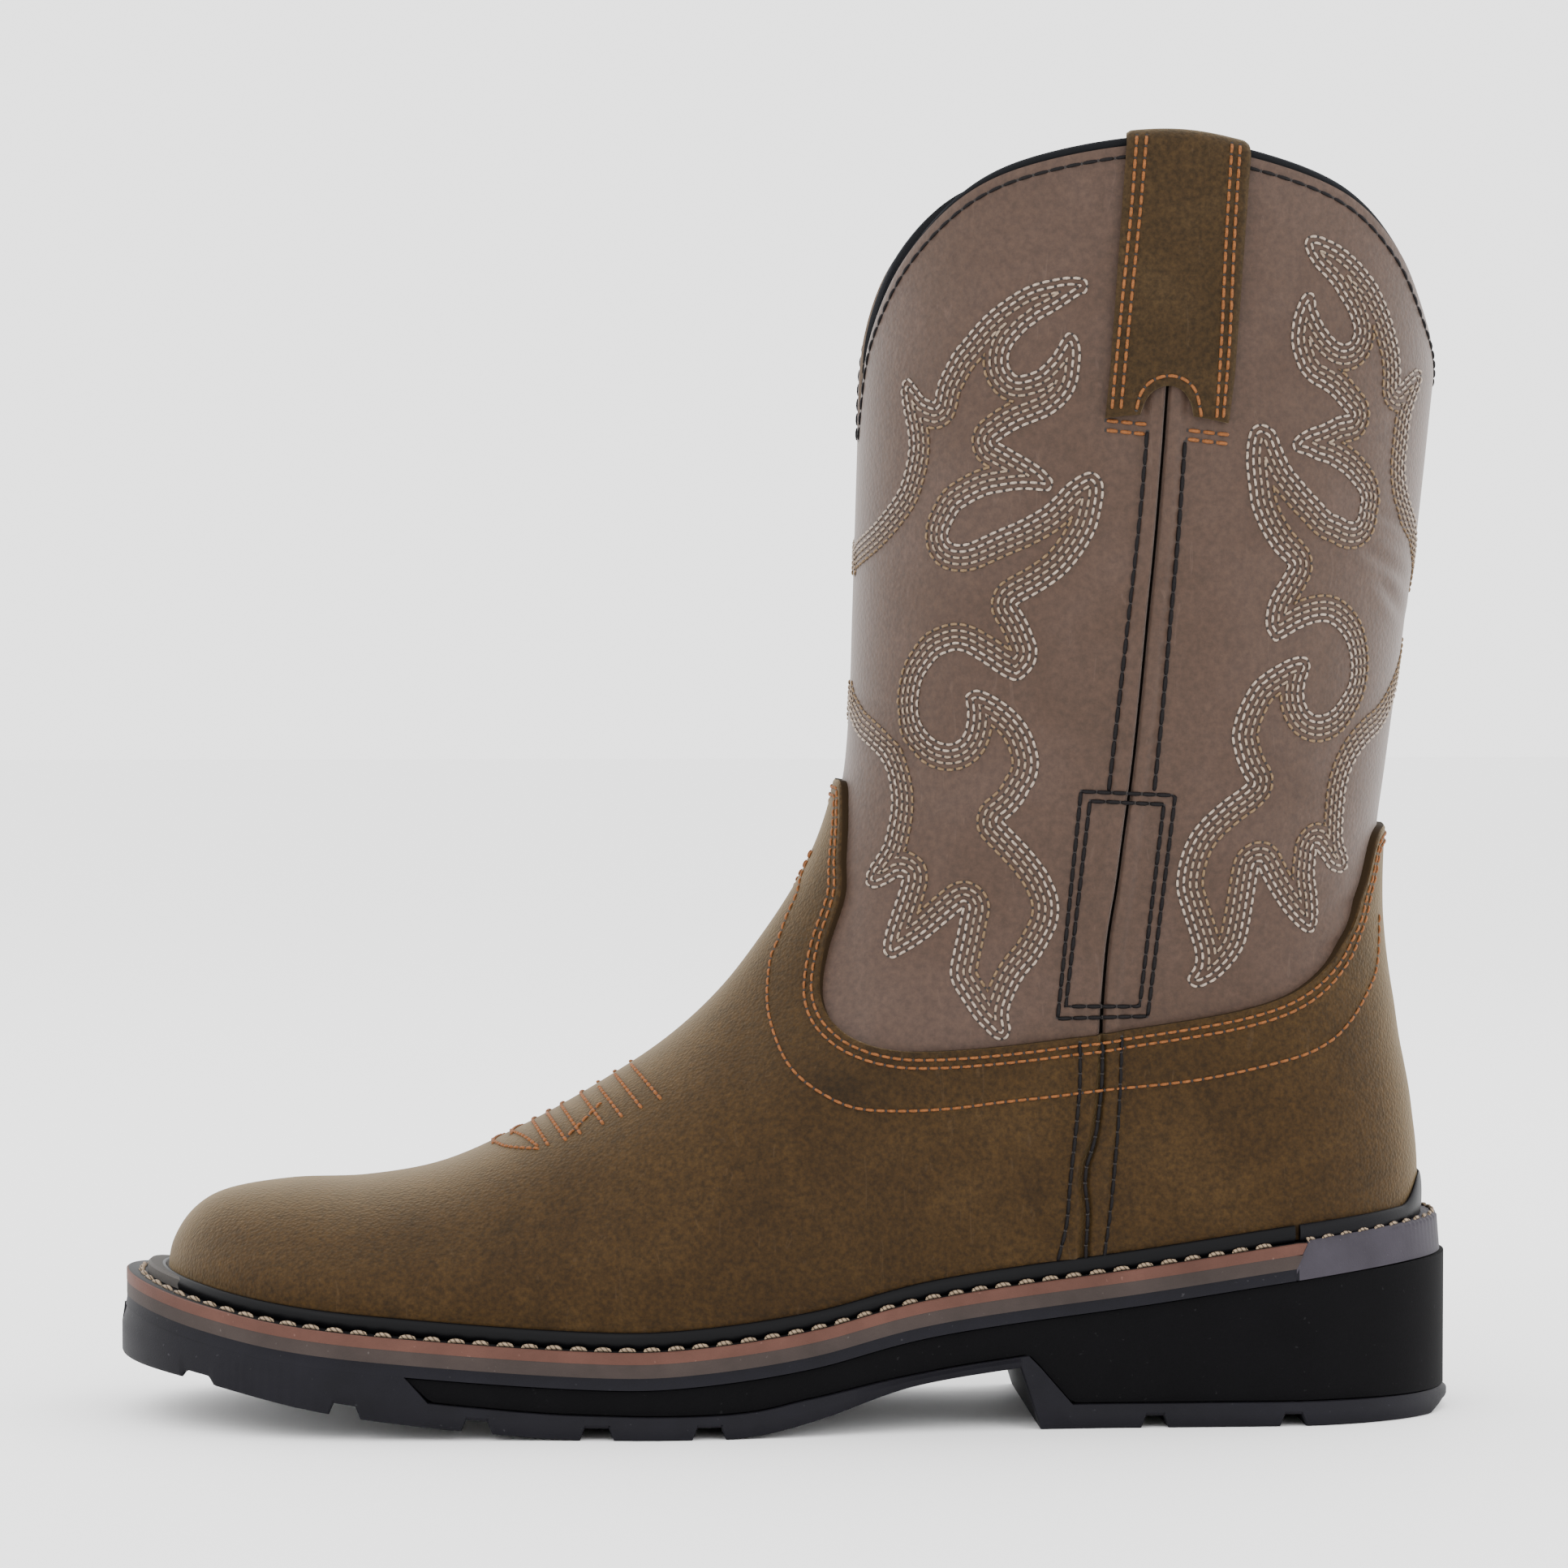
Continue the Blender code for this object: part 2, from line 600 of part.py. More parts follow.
def build_sole(group, cutters, finishes):
    flare = SOLE_FLARE
    edge = SOLE_LENGTH - STRIPE_END

    # Tread with toe block, arch, breast and heel, then its lugs
    outsole = slab("outsole", sole_stations(), tread_bottom, tread_top, 0.0, flare / 2,
                   finishes["tread"], group)
    bars = []
    for share in FORE_GROOVES:
        bars.append((share * SOLE_LENGTH, GROOVE_WIDTH))
    for share in HEEL_GROOVES:
        bars.append((BREAST + share * HEEL_LENGTH, HEEL_GROOVE_WIDTH))
    cut_grooves(outsole, bars, cutters)

    # Black core, set back from the sides and almost flush at the back
    def core_low(along):
        fall = np.clip((along - CORE_START - 2 * GAP) / CORE_SLANT, 0, 1)
        top = frame_bottom(along) - 2 * GAP
        return top * (1 - fall) + (band_top(along) + GAP) * fall

    def core_high(along):
        return frame_bottom(along) - GAP

    slab("sole_core", sole_stations(start=CORE_START + 2 * GAP), core_low, core_high,
         CORE_RECESS, CORE_RECESS, finishes["core"], group, HEEL_RECESS)

    # Dark layer with the heel band
    slab("sole_frame", sole_stations(), frame_bottom, frame_top, flare * 0.75, flare,
         finishes["frame"], group)

    # Grey-brown midsole, cut off in front of the heel band
    def mid_high(along):
        return welt_top(along) - WELT_THICKNESS - GAP

    def mid_low(along):
        return mid_high(along) - MIDSOLE_THICKNESS

    slab("midsole", sole_stations(end=edge - GAP), mid_low, mid_high, flare, flare,
         finishes["midsole"], group)
    build_welt(group, finishes)
    build_insole(group, finishes)


def cut_grooves(outsole, bars, cutters):
    """Cross grooves and one long channel under the forefoot divide the tread into lugs."""
    work = bmesh.new()
    for along, width in bars:
        top = float(tread_bottom(along)) + GROOVE_DEPTH
        made = bmesh.ops.create_cube(work, size=1.0)
        for v in made["verts"]:
            v.co.x = v.co.x * width + along - ORIGIN_ALONG
            v.co.y = v.co.y * BALL_WIDTH * CUTTER_OVERRUN
            v.co.z = (v.co.z + 0.5) * (top + 0.02) - 0.02
    mesh = bpy.data.meshes.new("cross_grooves")
    work.to_mesh(mesh)
    work.free()
    add_cutter(outsole, mesh, cutters)
    sections = []
    half = CHANNEL_WIDTH / 2
    for share in np.linspace(*CHANNEL_ENDS, 7):
        along = share * SOLE_LENGTH
        x = along - ORIGIN_ALONG
        top = float(tread_bottom(along)) + CHANNEL_SHARE * GROOVE_DEPTH
        sections.append(((x, -half, -0.02), (x, half, -0.02), (x, half, top), (x, -half, top)))
    made = loft("long_channel", np.array(sections), None, cutters)
    mesh = made.data
    bpy.data.objects.remove(made, do_unlink=True)
    add_cutter(outsole, mesh, cutters)


def add_cutter(target, mesh, cutters):
    cutter = bpy.data.objects.new(mesh.name, mesh)
    cutter.hide_render = True
    cutter.display_type = "WIRE"
    cutters.objects.link(cutter)
    cut = target.modifiers.new(mesh.name, "BOOLEAN")
    cut.operation = "DIFFERENCE"
    cut.solver = "EXACT"
    cut.object = cutter


def build_welt(group, finishes):
    """The welt is a strip round the forefoot and waist, open at the heel."""
    stations = sole_stations(end=SOLE_LENGTH - STRIPE_END + WELT_END_SHARE * STRIPE_SLANT)
    path = [(-1, s) for s in stations[::-1]] + [(1, s) for s in stations]
    sections = []
    for side, station in path:
        along, across = sole_point(side, station, SOLE_FLARE, SOLE_FLARE, SOLE_FLARE)
        wide = float(margin(station)) + WALL
        deep, deep_across = sole_point(side, station, TOE_MARGIN + WALL, wide,
                                       HEEL_MARGIN + WALL)
        outer_x = along - ORIGIN_ALONG
        inner_x = deep - ORIGIN_ALONG
        outer_up = float(welt_top(along))
        inner_up = float(welt_top(deep))
        sections.append(((outer_x, across, outer_up - WELT_THICKNESS),
                         (outer_x, across, outer_up),
                         (inner_x, deep_across, inner_up),
                         (inner_x, deep_across, inner_up - WELT_THICKNESS)))
    loft("welt", np.array(sections), finishes["welt"], group)


def build_insole(group, finishes):
    """The insole fills the welt's opening and the bottom of the upper."""
    side_inset = WALL + 4 * GAP
    end_inset = WALL + 6 * GAP
    edge = SOLE_LENGTH - STRIPE_END
    sections = []
    for station in sole_stations():
        corners = []
        for side, top in ((-1, False), (1, False), (1, True), (-1, True)):
            along, across = sole_point(side, station, TOE_MARGIN + end_inset,
                                       float(margin(station)) + side_inset,
                                       HEEL_MARGIN + end_inset)
            step = np.clip((along - edge + STRIPE_SLANT) / (STRIPE_SLANT - GAP), 0, 1)
            low = welt_top(along) - WELT_THICKNESS * (1 - step) + GAP * step
            high = welt_top(along) + INSOLE_RISE
            corners.append((along - ORIGIN_ALONG, across, float(high if top else low)))
        sections.append(corners)
    loft("insole", np.array(sections), finishes["insole"], group)


# Upper pieces
def side_columns():
    """Columns of one side of the upper, with extra ones over the side seam."""
    seam = SEAM_WIDTH / SHAFT_DEPTH * 2 / math.pi
    front = np.linspace(0, 1 - seam, VAMP_COLUMNS)
    ridge = [1 - 0.75 * seam, 1 - SEAM_SLIT, 1.0, 1 + SEAM_SLIT, 1 + 0.75 * seam]
    back = np.linspace(1 + seam, 2, COUNTER_COLUMNS)
    return np.concatenate([front, ridge, back])


def seam_lift(column):
    """The side seam is a raised fold on each side of a groove."""
    seam = SEAM_WIDTH / SHAFT_DEPTH * 2 / math.pi
    off = np.abs(np.abs(column) - 1) / seam
    return SEAM_RAISE * np.interp(off, (0, 0.1, 0.75, 1.0), (0.4, 0.75, 1.0, 0.0))


def strap_low_ring():
    """Ring where the pull strap ends on the shaft."""
    rings = np.linspace(ANKLE_SHARE, 1, 200)
    ups = form_point(np.full(200, math.pi / 2), rings)[:, 2]
    return float(np.interp(COLLAR_SIDE - STRAP_LENGTH, ups, rings))


def build_upper(group, finishes):
    """One hollow wall from the welt to the collar, open at both."""
    one = side_columns()
    columns = np.concatenate([one, -one[1:-1][::-1]])
    edge = foot_ring(columns, np.ones(len(columns)))
    angles = []
    rings = []
    lifts = []
    under_strap = strap_low_ring() + ARCH_COVER * STRAP_ARCH / STRAP_LENGTH * (1 - strap_low_ring())
    for share in FOOT_ROWS:
        ring = foot_ring(columns, np.full(len(columns), share))
        rings.append(ring)
        angles.append(column_angle(columns, ring))
        lifts.append(np.zeros(len(columns)))
    for share in np.linspace(0, 1, SHAFT_ROWS + 1)[1:]:
        ring = edge + (1 - edge) * share
        rings.append(ring)
        angles.append(column_angle(columns, ring))
        lifts.append(seam_lift(columns) * (ring < under_strap))
    outer = leather_point(np.array(angles), np.array(rings), np.array(lifts))
    inner = leather_point(np.array(angles), np.array(rings), np.full(outer.shape[:2], -WALL))
    inner[-1, :, 2] = outer[-1, :, 2]
    shell("upper", outer, inner, True, finishes["shaft"], group)


def foot_leather(name, columns, group, finishes):
    """A leather laid over the upper's form, from the welt to its edge on the shaft."""
    rings = np.array([foot_ring(columns, np.full(len(columns), s)) for s in FOOT_ROWS])
    grid = np.broadcast_to(columns, rings.shape)
    angles = column_angle(grid, rings)
    inner = leather_point(angles, rings, np.full(rings.shape, GAP))
    outer = leather_point(angles, rings, GAP + FOOT_LEATHER + seam_lift(grid))
    return shell(name, outer, inner, False, finishes["foot"], group)


def build_foot(group, finishes):
    """Vamp in front of the side seams and counter behind them."""
    one = side_columns()
    front = one[one < 1 - SEAM_SLIT / 2]
    foot_leather("vamp", np.concatenate([-front[1:][::-1], front]), group, finishes)
    back = one[one > 1 + SEAM_SLIT / 2]
    foot_leather("counter", np.concatenate([back, -back[:-1][::-1]]), group, finishes)


def rand_section(column, height, lean):
    """A bead that lies on the welt against the foot leather, rounded on its outer side."""
    angle = float(column_angle(column, 0.0))
    lift = GAP + FOOT_LEATHER + GAP + float(seam_lift(column))
    normal = form_normal(angle, 0.0) * np.array([1, 1, 0])
    normal = normal / np.linalg.norm(normal)
    low = form_point(angle, 0.0) + normal * lift
    wide = low + normal * RAND_WIDTH
    low[2] = welt_top(low[0] + ORIGIN_ALONG) + SEAT_GAP
    wide[2] = welt_top(wide[0] + ORIGIN_ALONG) + SEAT_GAP
    rise = height / (INSTEP_HEIGHT * ANKLE_SHARE)
    high = float(column_angle(column, rise))
    top = form_point(high, rise) + form_normal(high, rise) * (lift + lean)
    top[2] = low[2] + height
    up = np.array([0, 0, 1.0])
    return (low, wide, wide + up * height * 0.55,
            top + normal * RAND_WIDTH * 0.75 - up * 0.12 * height,
            top + normal * RAND_WIDTH * 0.3, top)


def build_rand(group, finishes):
    """A long rand round the forefoot, and a heel rand with the spur ledge."""
    one = side_columns()
    angles = column_angle(one, np.zeros(len(one)))
    places = form_point(angles, np.zeros(len(one)))[:, 0] + ORIGIN_ALONG
    cut = int(np.argmin(np.abs(places - (SOLE_LENGTH - STRIPE_END))))
    front = np.concatenate([-one[1:cut + 1][::-1], one[:cut + 1]])
    sections = [rand_section(c, RAND_HEIGHT, LEAN_CLEARANCE) for c in front]
    loft("rand", np.array(sections), finishes["rand"], group)
    back = np.concatenate([[one[cut] + RAND_SLIT], one[cut + 1:], 2 - SPUR_COLUMNS])
    back = np.array(sorted(set(np.round(back, 6))))
    path = np.concatenate([-back, back[:-1][::-1]])
    sections = []
    for column in path:
        angle = float(column_angle(column, 0.0))
        across = abs(float(form_point(angle, 0.0)[1]))
        climb = float(ease((SPUR_WIDTH / 2 - across) / (SPUR_WIDTH / 4)))
        height = RAND_HEIGHT + SPUR_HEIGHT * climb
        sections.append(rand_section(column, height, LEAN_CLEARANCE * (1 + climb)))
    loft("heel_rand", np.array(sections), finishes["rand"], group)


def strap_columns():
    """Shares across the strap, with extra ones round its arch."""
    return np.array((-1.0, -0.70, -0.42, -0.36, -0.20, 0.0, 0.20, 0.36, 0.42, 0.70, 1.0))


def build_strap(name, side, group, finishes):
    """A pull strap: down the outside, over the collar's peak, down the inside."""
    shares = strap_columns()
    low_ring = strap_low_ring()
    half_turn = STRAP_WIDTH / SHAFT_DEPTH
    legs = 5
    bend = 6
    near = []
    far = []
    lift = GAP + STRAP_CLEARANCE
    for k in range(legs):
        t = k / (legs - 1)
        row_near = []
        row_far = []
        for share in shares:
            arch = STRAP_ARCH * math.sqrt(max(0.0, 1 - (share / STRAP_ARCH_SHARE) ** 2))
            ring = low_ring + (1 - low_ring) * (t + (1 - t) * arch / STRAP_LENGTH)
            lean = STRAP_LEAN * (ring - low_ring) / (1 - low_ring)
            angle = side * (math.pi / 2 + lean + share * half_turn)
            base = form_point(angle, ring)
            normal = form_normal(angle, ring)
            row_near.append(base + normal * lift)
            row_far.append(base + normal * (lift + STRAP_THICKNESS))
        near.append(row_near)
        far.append(row_far)
    inner_near = []
    inner_far = []
    for k in range(legs):
        t = k / (legs - 1)
        row_near = []
        row_far = []
        for share in shares:
            ring = 1 - (1 - low_ring) * t
            lean = STRAP_LEAN * (ring - low_ring) / (1 - low_ring)
            angle = side * (math.pi / 2 + lean + share * half_turn)
            base = form_point(angle, ring)
            normal = form_normal(angle, ring)
            row_near.append(base - normal * (WALL + lift))
            row_far.append(base - normal * (WALL + lift + STRAP_THICKNESS))
        inner_near.append(row_near)
        inner_far.append(row_far)
    for k in range(1, bend):
        turn = math.pi * k / bend
        row_near = []
        row_far = []
        for j in range(len(shares)):
            a = near[legs - 1][j]
            b = inner_near[0][j]
            middle = (a + b) / 2
            out = (a - b) / 2
            reach = np.linalg.norm(out)
            up = np.array([0, 0, 1.0])
            way = out / reach
            row_near.append(middle + way * reach * math.cos(turn) + up * reach * math.sin(turn))
            wide = reach + STRAP_THICKNESS
            row_far.append(middle + way * wide * math.cos(turn) + up * wide * math.sin(turn))
        near.append(row_near)
        far.append(row_far)
    near += inner_near
    far += inner_far
    shell(name, np.array(far), np.array(near), False, finishes["strap"], group)


def main():
    clear_scene()
    group = collection("western_work_boot")
    cutters = collection("cutters")
    finishes = {
        "shaft": material("shaft_leather", (0.235, 0.180, 0.150), 0.55),
        "foot": material("foot_leather", (0.130, 0.085, 0.033), 0.70),
        "strap": material("strap_leather", (0.110, 0.075, 0.035), 0.75),
        "rand": material("rand_rubber", (0.012, 0.012, 0.014), 0.35),
        "welt": material("welt_rubber", (0.260, 0.115, 0.070), 0.60),
        "midsole": material("midsole_rubber", (0.090, 0.075, 0.062), 0.65),
        "frame": material("frame_rubber", (0.030, 0.031, 0.035), 0.60),
        "core": material("core_foam", (0.008, 0.008, 0.009), 0.90),
        "tread": material("tread_rubber", (0.030, 0.031, 0.035), 0.60),
        "insole": material("insole_board", (0.045, 0.040, 0.036), 0.90),
    }
    build_sole(group, cutters, finishes)
    build_upper(group, finishes)
    build_foot(group, finishes)
    build_rand(group, finishes)
    build_strap("pull_strap_outer", -1, group, finishes)
    build_strap("pull_strap_inner", 1, group, finishes)


main()
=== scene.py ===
import math

import bmesh
import bpy
import numpy as np
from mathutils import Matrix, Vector
from mathutils.bvhtree import BVHTree


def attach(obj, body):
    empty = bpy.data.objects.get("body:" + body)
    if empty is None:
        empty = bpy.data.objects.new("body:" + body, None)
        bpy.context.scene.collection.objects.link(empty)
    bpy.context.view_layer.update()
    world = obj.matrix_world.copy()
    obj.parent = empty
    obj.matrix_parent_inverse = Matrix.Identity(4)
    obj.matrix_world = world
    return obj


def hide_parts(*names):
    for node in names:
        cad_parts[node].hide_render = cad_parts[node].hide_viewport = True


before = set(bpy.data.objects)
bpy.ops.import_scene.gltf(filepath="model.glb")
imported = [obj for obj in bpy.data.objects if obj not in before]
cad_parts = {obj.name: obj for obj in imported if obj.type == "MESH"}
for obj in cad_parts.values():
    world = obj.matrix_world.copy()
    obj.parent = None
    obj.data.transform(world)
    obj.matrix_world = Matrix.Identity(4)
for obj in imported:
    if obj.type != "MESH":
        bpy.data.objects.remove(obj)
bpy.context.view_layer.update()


# Camera, floor and light
# The boot stands on a pale studio floor. The camera looks at its outer side with the toe
# turned three degrees nearer, from a little under the collar's height.
PHOTO_SIZE = 1932
FOCAL_PIXELS = 7800
CAMERA_YAW = math.radians(3.0)
CAMERA_PITCH = math.radians(2.33)
CAMERA_DISTANCE = 1.5
CAMERA_HEIGHT = 0.2092
CAMERA_MIDDLE_X = -0.10035
FLOOR_COLOUR = (0.93, 0.93, 0.93)

eye = Vector((CAMERA_MIDDLE_X - math.sin(CAMERA_YAW) * CAMERA_DISTANCE,
              -math.cos(CAMERA_YAW) * CAMERA_DISTANCE, CAMERA_HEIGHT))
gaze = Vector((math.sin(CAMERA_YAW) * math.cos(CAMERA_PITCH),
               math.cos(CAMERA_YAW) * math.cos(CAMERA_PITCH), -math.sin(CAMERA_PITCH)))
camera_right = gaze.cross(Vector((0, 0, 1))).normalized()
camera_up = camera_right.cross(gaze)
lens = bpy.data.cameras.new("photo_camera")
lens.sensor_width = 36.0
lens.lens = FOCAL_PIXELS / PHOTO_SIZE * lens.sensor_width
camera = bpy.data.objects.new("photo_camera", lens)
camera.location = eye
camera.rotation_euler = gaze.to_track_quat("-Z", "Y").to_euler()
bpy.context.scene.collection.objects.link(camera)
bpy.context.scene.camera = camera


def shader(name, colour, rough, **extra):
    """A new material and its nodes, links and Principled shader."""
    made = bpy.data.materials.new(name)
    made.use_nodes = True
    nodes = made.node_tree.nodes
    links = made.node_tree.links
    surface = nodes["Principled BSDF"]
    surface.inputs["Base Color"].default_value = (*colour, 1)
    surface.inputs["Roughness"].default_value = rough
    for key, value in extra.items():
        surface.inputs[key.replace("_", " ")].default_value = value
    made.diffuse_color = (*colour, 1)
    return made, nodes, links, surface


bpy.ops.mesh.primitive_plane_add(size=6.0, location=(0, 1.2, 0))
floor = bpy.context.object
floor.name = "floor"
floor.data.materials.append(shader("pale_floor", FLOOR_COLOUR, 0.7)[0])

world = bpy.data.worlds.new("studio")
world.use_nodes = True
world.node_tree.nodes["Background"].inputs["Color"].default_value = (1, 1, 1, 1)
world.node_tree.nodes["Background"].inputs["Strength"].default_value = 2.6
bpy.context.scene.world = world

LAMPS = (
    # name, place, aim, size, watts
    ("key", (-0.9, -1.3, 1.3), (-0.1, 0, 0.12), 0.9, 7.0),
    ("fill", (0.9, -1.2, 0.7), (-0.1, 0, 0.15), 0.8, 5.0),
    ("left rim", (-1.1, 0.30, 0.60), (-0.1, 0, 0.15), 2.0, 9.0),
    ("right rim", (0.95, 0.30, 0.50), (0.0, 0, 0.15), 1.4, 9.0),
)
for name, place, aim, size, watts in LAMPS:
    lamp = bpy.data.lights.new(name, "AREA")
    lamp.size = size
    lamp.energy = watts
    holder = bpy.data.objects.new(name, lamp)
    holder.location = place
    holder.rotation_euler = (Vector(aim) - Vector(place)).to_track_quat("-Z", "Y").to_euler()
    bpy.context.scene.collection.objects.link(holder)


# Tread
# Lugged slate rubber, moulded in one piece with its toe block and its heel block. The other
# layers are cemented on top of it, so its top and its outline are worked out from theirs.
ORIGIN_ALONG = 0.25635
SOLE_LENGTH = 0.312
BALL_WIDTH = 0.112
HEEL_WIDTH = 0.082
HEEL_LENGTH = 0.0985
FOREPART_THICKNESS = 0.0201
TOE_SPRING = 0.014
ARCH_RISE = 0.0150
HEEL_LIFT = 0.0262
TOE_ROUND = 0.060
HEEL_ROUND = 0.043
TOE_SWING = 0.005
WELT_THICKNESS = 0.0028
MIDSOLE_THICKNESS = 0.0026
FRAME_THICKNESS = 0.0027
TREAD_BAND = 0.0055
SHANK_BAND = 0.0024
SHANK_START = 0.72
SHANK_BLEND = 0.16
SOLE_FLARE = 0.0024
TREAD_TOP_INSET = SOLE_FLARE * 0.45
BLOCK_LEAN = SOLE_FLARE * 0.3
BREAST_SLOPE = 0.0048
BREAST_WALL = 0.0075
BAND_LEAD = 0.0020
REAR_BEVEL = 0.0040
REAR_BEVEL_RISE = REAR_BEVEL * 0.6
CORE_START = 0.066
CORE_SLANT = 0.0055
GAP = 0.0003
BREAST = SOLE_LENGTH - HEEL_LENGTH
EDGE_ROUND = 0.0005
GROOVE_WALL = 0.0012
RIB_PITCH = 0.0011
RIB_DEPTH = 0.00022
RIB_FADE = 0.003
RIB_SHARE = 0.62
RIBBED_SPAN = (0.023, 0.047)
SWING_LENGTH = SOLE_LENGTH * 0.36
END_REACH = 0.030
HEEL_PUSH = 0.0022
TOE_PUSH = 0.0010
SLATE = (0.0050, 0.0047, 0.0068)

# Half widths of the sole: along as a share, then outer and inner side
SOLE_SIDES = (
    (0.00, 0.500 * BALL_WIDTH, 0.480 * BALL_WIDTH),
    (0.30, 0.495 * BALL_WIDTH, 0.487 * BALL_WIDTH),
    (0.40, 0.513 * BALL_WIDTH, 0.450 * BALL_WIDTH),
    (0.50, 0.482 * BALL_WIDTH, 0.372 * BALL_WIDTH),
    (0.60, 0.420 * BALL_WIDTH, 0.318 * BALL_WIDTH),
    (0.70, 0.520 * HEEL_WIDTH, 0.445 * HEEL_WIDTH),
    (0.82, 0.508 * HEEL_WIDTH, 0.480 * HEEL_WIDTH),
    (1.00, 0.500 * HEEL_WIDTH, 0.490 * HEEL_WIDTH),
)
# Top of the welt: along as a share, then height
WELT_LINE = (
    (0.000, FOREPART_THICKNESS + 1.000 * TOE_SPRING),
    (0.061, FOREPART_THICKNESS + 0.670 * TOE_SPRING),
    (0.138, FOREPART_THICKNESS + 0.386 * TOE_SPRING),
    (0.272, FOREPART_THICKNESS + 0.110 * TOE_SPRING),
    (0.365, FOREPART_THICKNESS),
    (0.433, FOREPART_THICKNESS + 0.034 * HEEL_LIFT),
    (0.513, FOREPART_THICKNESS + 0.163 * HEEL_LIFT),
    (0.606, FOREPART_THICKNESS + 0.410 * HEEL_LIFT),
    (0.756, FOREPART_THICKNESS + 0.640 * HEEL_LIFT),
    (0.881, FOREPART_THICKNESS + 0.862 * HEEL_LIFT),
    (0.955, FOREPART_THICKNESS + 0.965 * HEEL_LIFT),
    (1.000, FOREPART_THICKNESS + 1.000 * HEEL_LIFT),
)
# Under side of the tread in front of the heel: share of the way to the breast, then height
TREAD_LINE = (
    (0.000, 1.000 * TOE_SPRING),
    (0.089, 0.836 * TOE_SPRING),
    (0.202, 0.500 * TOE_SPRING),
    (0.300, 0.280 * TOE_SPRING),
    (0.400, 0.110 * TOE_SPRING),
    (0.500, 0.0),
    (0.660, 0.0),
    (0.750, 0.233 * ARCH_RISE),
    (0.860, 0.713 * ARCH_RISE),
    (1.000, 1.000 * ARCH_RISE),
)
# Notches of the tread's edge and the cross grooves behind them: middle along, width, depth
TREAD_GROOVES = (
    (0.0181, 0.0068, 0.0018),
    (0.0524, 0.0062, 0.0028),
    (0.0827, 0.0060, 0.0028),
    (0.1101, 0.0066, 0.0028),
    (0.1360, 0.0066, 0.0028),
    (0.2401, 0.0052, 0.0028),
    (0.2726, 0.0052, 0.0028),
)


def smooth_line(rows, steps=24):
    """A smooth curve through the rows, as a dense table with the same columns."""
    rows = np.array(rows, float)
    ahead = np.vstack([rows[1:], 2 * rows[-1:] - rows[-2:-1]])
    behind = np.vstack([2 * rows[:1] - rows[1:2], rows[:-1]])
    slope = (ahead - behind) / 2
    t = np.linspace(0, 1, steps, endpoint=False)[:, None]
    out = []
    for k in range(len(rows) - 1):
        out.append((2 * t ** 3 - 3 * t ** 2 + 1) * rows[k] + (t ** 3 - 2 * t ** 2 + t) * slope[k]
                   + (3 * t ** 2 - 2 * t ** 3) * rows[k + 1] + (t ** 3 - t ** 2) * slope[k + 1])
    out.append(rows[-1:])
    return np.vstack(out)


def ease(t):
    t = np.clip(t, 0, 1)
    return t * t * (3 - 2 * t)


def unit(rows):
    """The rows as ways of length 1."""
    return rows / np.maximum(np.linalg.norm(rows, axis=-1, keepdims=True), 1e-12)


def rounding(t, power=2.05):
    t = np.clip(t, 0, 1)
    return (1 - (1 - t) ** power) ** (1 / power)


WELT_CURVE = smooth_line(WELT_LINE)
TREAD_CURVE = smooth_line(TREAD_LINE)
SIDE_CURVE = smooth_line(SOLE_SIDES)


def welt_top(along):
    return np.interp(along / SOLE_LENGTH, WELT_CURVE[:, 0], WELT_CURVE[:, 1])


def swing(along):
    return TOE_SWING * np.clip(1 - along / SWING_LENGTH, 0, 1) ** 2


def side_width(side, along):
    share = along / SOLE_LENGTH
    outer = np.interp(share, SIDE_CURVE[:, 0], SIDE_CURVE[:, 1])
    inner = np.interp(share, SIDE_CURVE[:, 0], SIDE_CURVE[:, 2])
    return np.where(np.asarray(side) < 0, outer, inner)


def frame_bottom(along):
    return welt_top(along) - WELT_THICKNESS - MIDSOLE_THICKNESS - FRAME_THICKNESS - 2 * GAP


def tread_bottom(along):
    arch = np.maximum(np.interp(along / BREAST, TREAD_CURVE[:, 0], TREAD_CURVE[:, 1]), 0)
    fall = np.clip((along - BREAST + BREAST_SLOPE) / BREAST_SLOPE, 0, 1)
    bevel = np.clip((along - SOLE_LENGTH + REAR_BEVEL) / REAR_BEVEL, 0, 1) * REAR_BEVEL_RISE
    return arch * (1 - fall) + bevel


def tread_groove(along):
    """Depth of the cross grooves, with sloping walls."""
    deep = np.zeros_like(along)
    for middle, width, depth in TREAD_GROOVES:
        inside = width / 2 + GROOVE_WALL / 2 - np.abs(along - middle)
        deep = np.maximum(deep, depth * np.clip(inside / GROOVE_WALL, 0, 1))
    return deep


def band_top(along):
    shank = ease((along / BREAST - SHANK_START) / SHANK_BLEND)
    thick = TREAD_BAND + (SHANK_BAND - TREAD_BAND) * shank
    arch = np.interp(along / BREAST, TREAD_CURVE[:, 0], TREAD_CURVE[:, 1]) + thick
    start = BREAST - BREAST_SLOPE + BAND_LEAD
    fall = np.clip((along - start) / (BREAST_SLOPE + BREAST_WALL - BAND_LEAD), 0, 1)
    return arch * (1 - fall) + TREAD_BAND * fall


def tread_top(along):
    fall = np.clip((along - CORE_START) / CORE_SLANT, 0, 1)
    return frame_bottom(along) * (1 - fall) + band_top(along) * fall


def block_shift(along):
    """The toe block reaches up to the slate layer and leans in as far as it does."""
    return -BLOCK_LEAN * (1 - np.clip((along - CORE_START) / CORE_SLANT, 0, 1))


def stations(count, start=0.0, end=SOLE_LENGTH, extra=()):
    """Places along the sole, closer at its round ends and at the places in extra."""
    ends = 0.5 * (1 - np.cos(np.linspace(0, math.pi, count))) * SOLE_LENGTH
    places = np.concatenate([ends, np.asarray(extra, float)])
    places = np.unique(np.round(places[(places > start) & (places < end)], 6))
    return np.concatenate([[start], places, [end]])


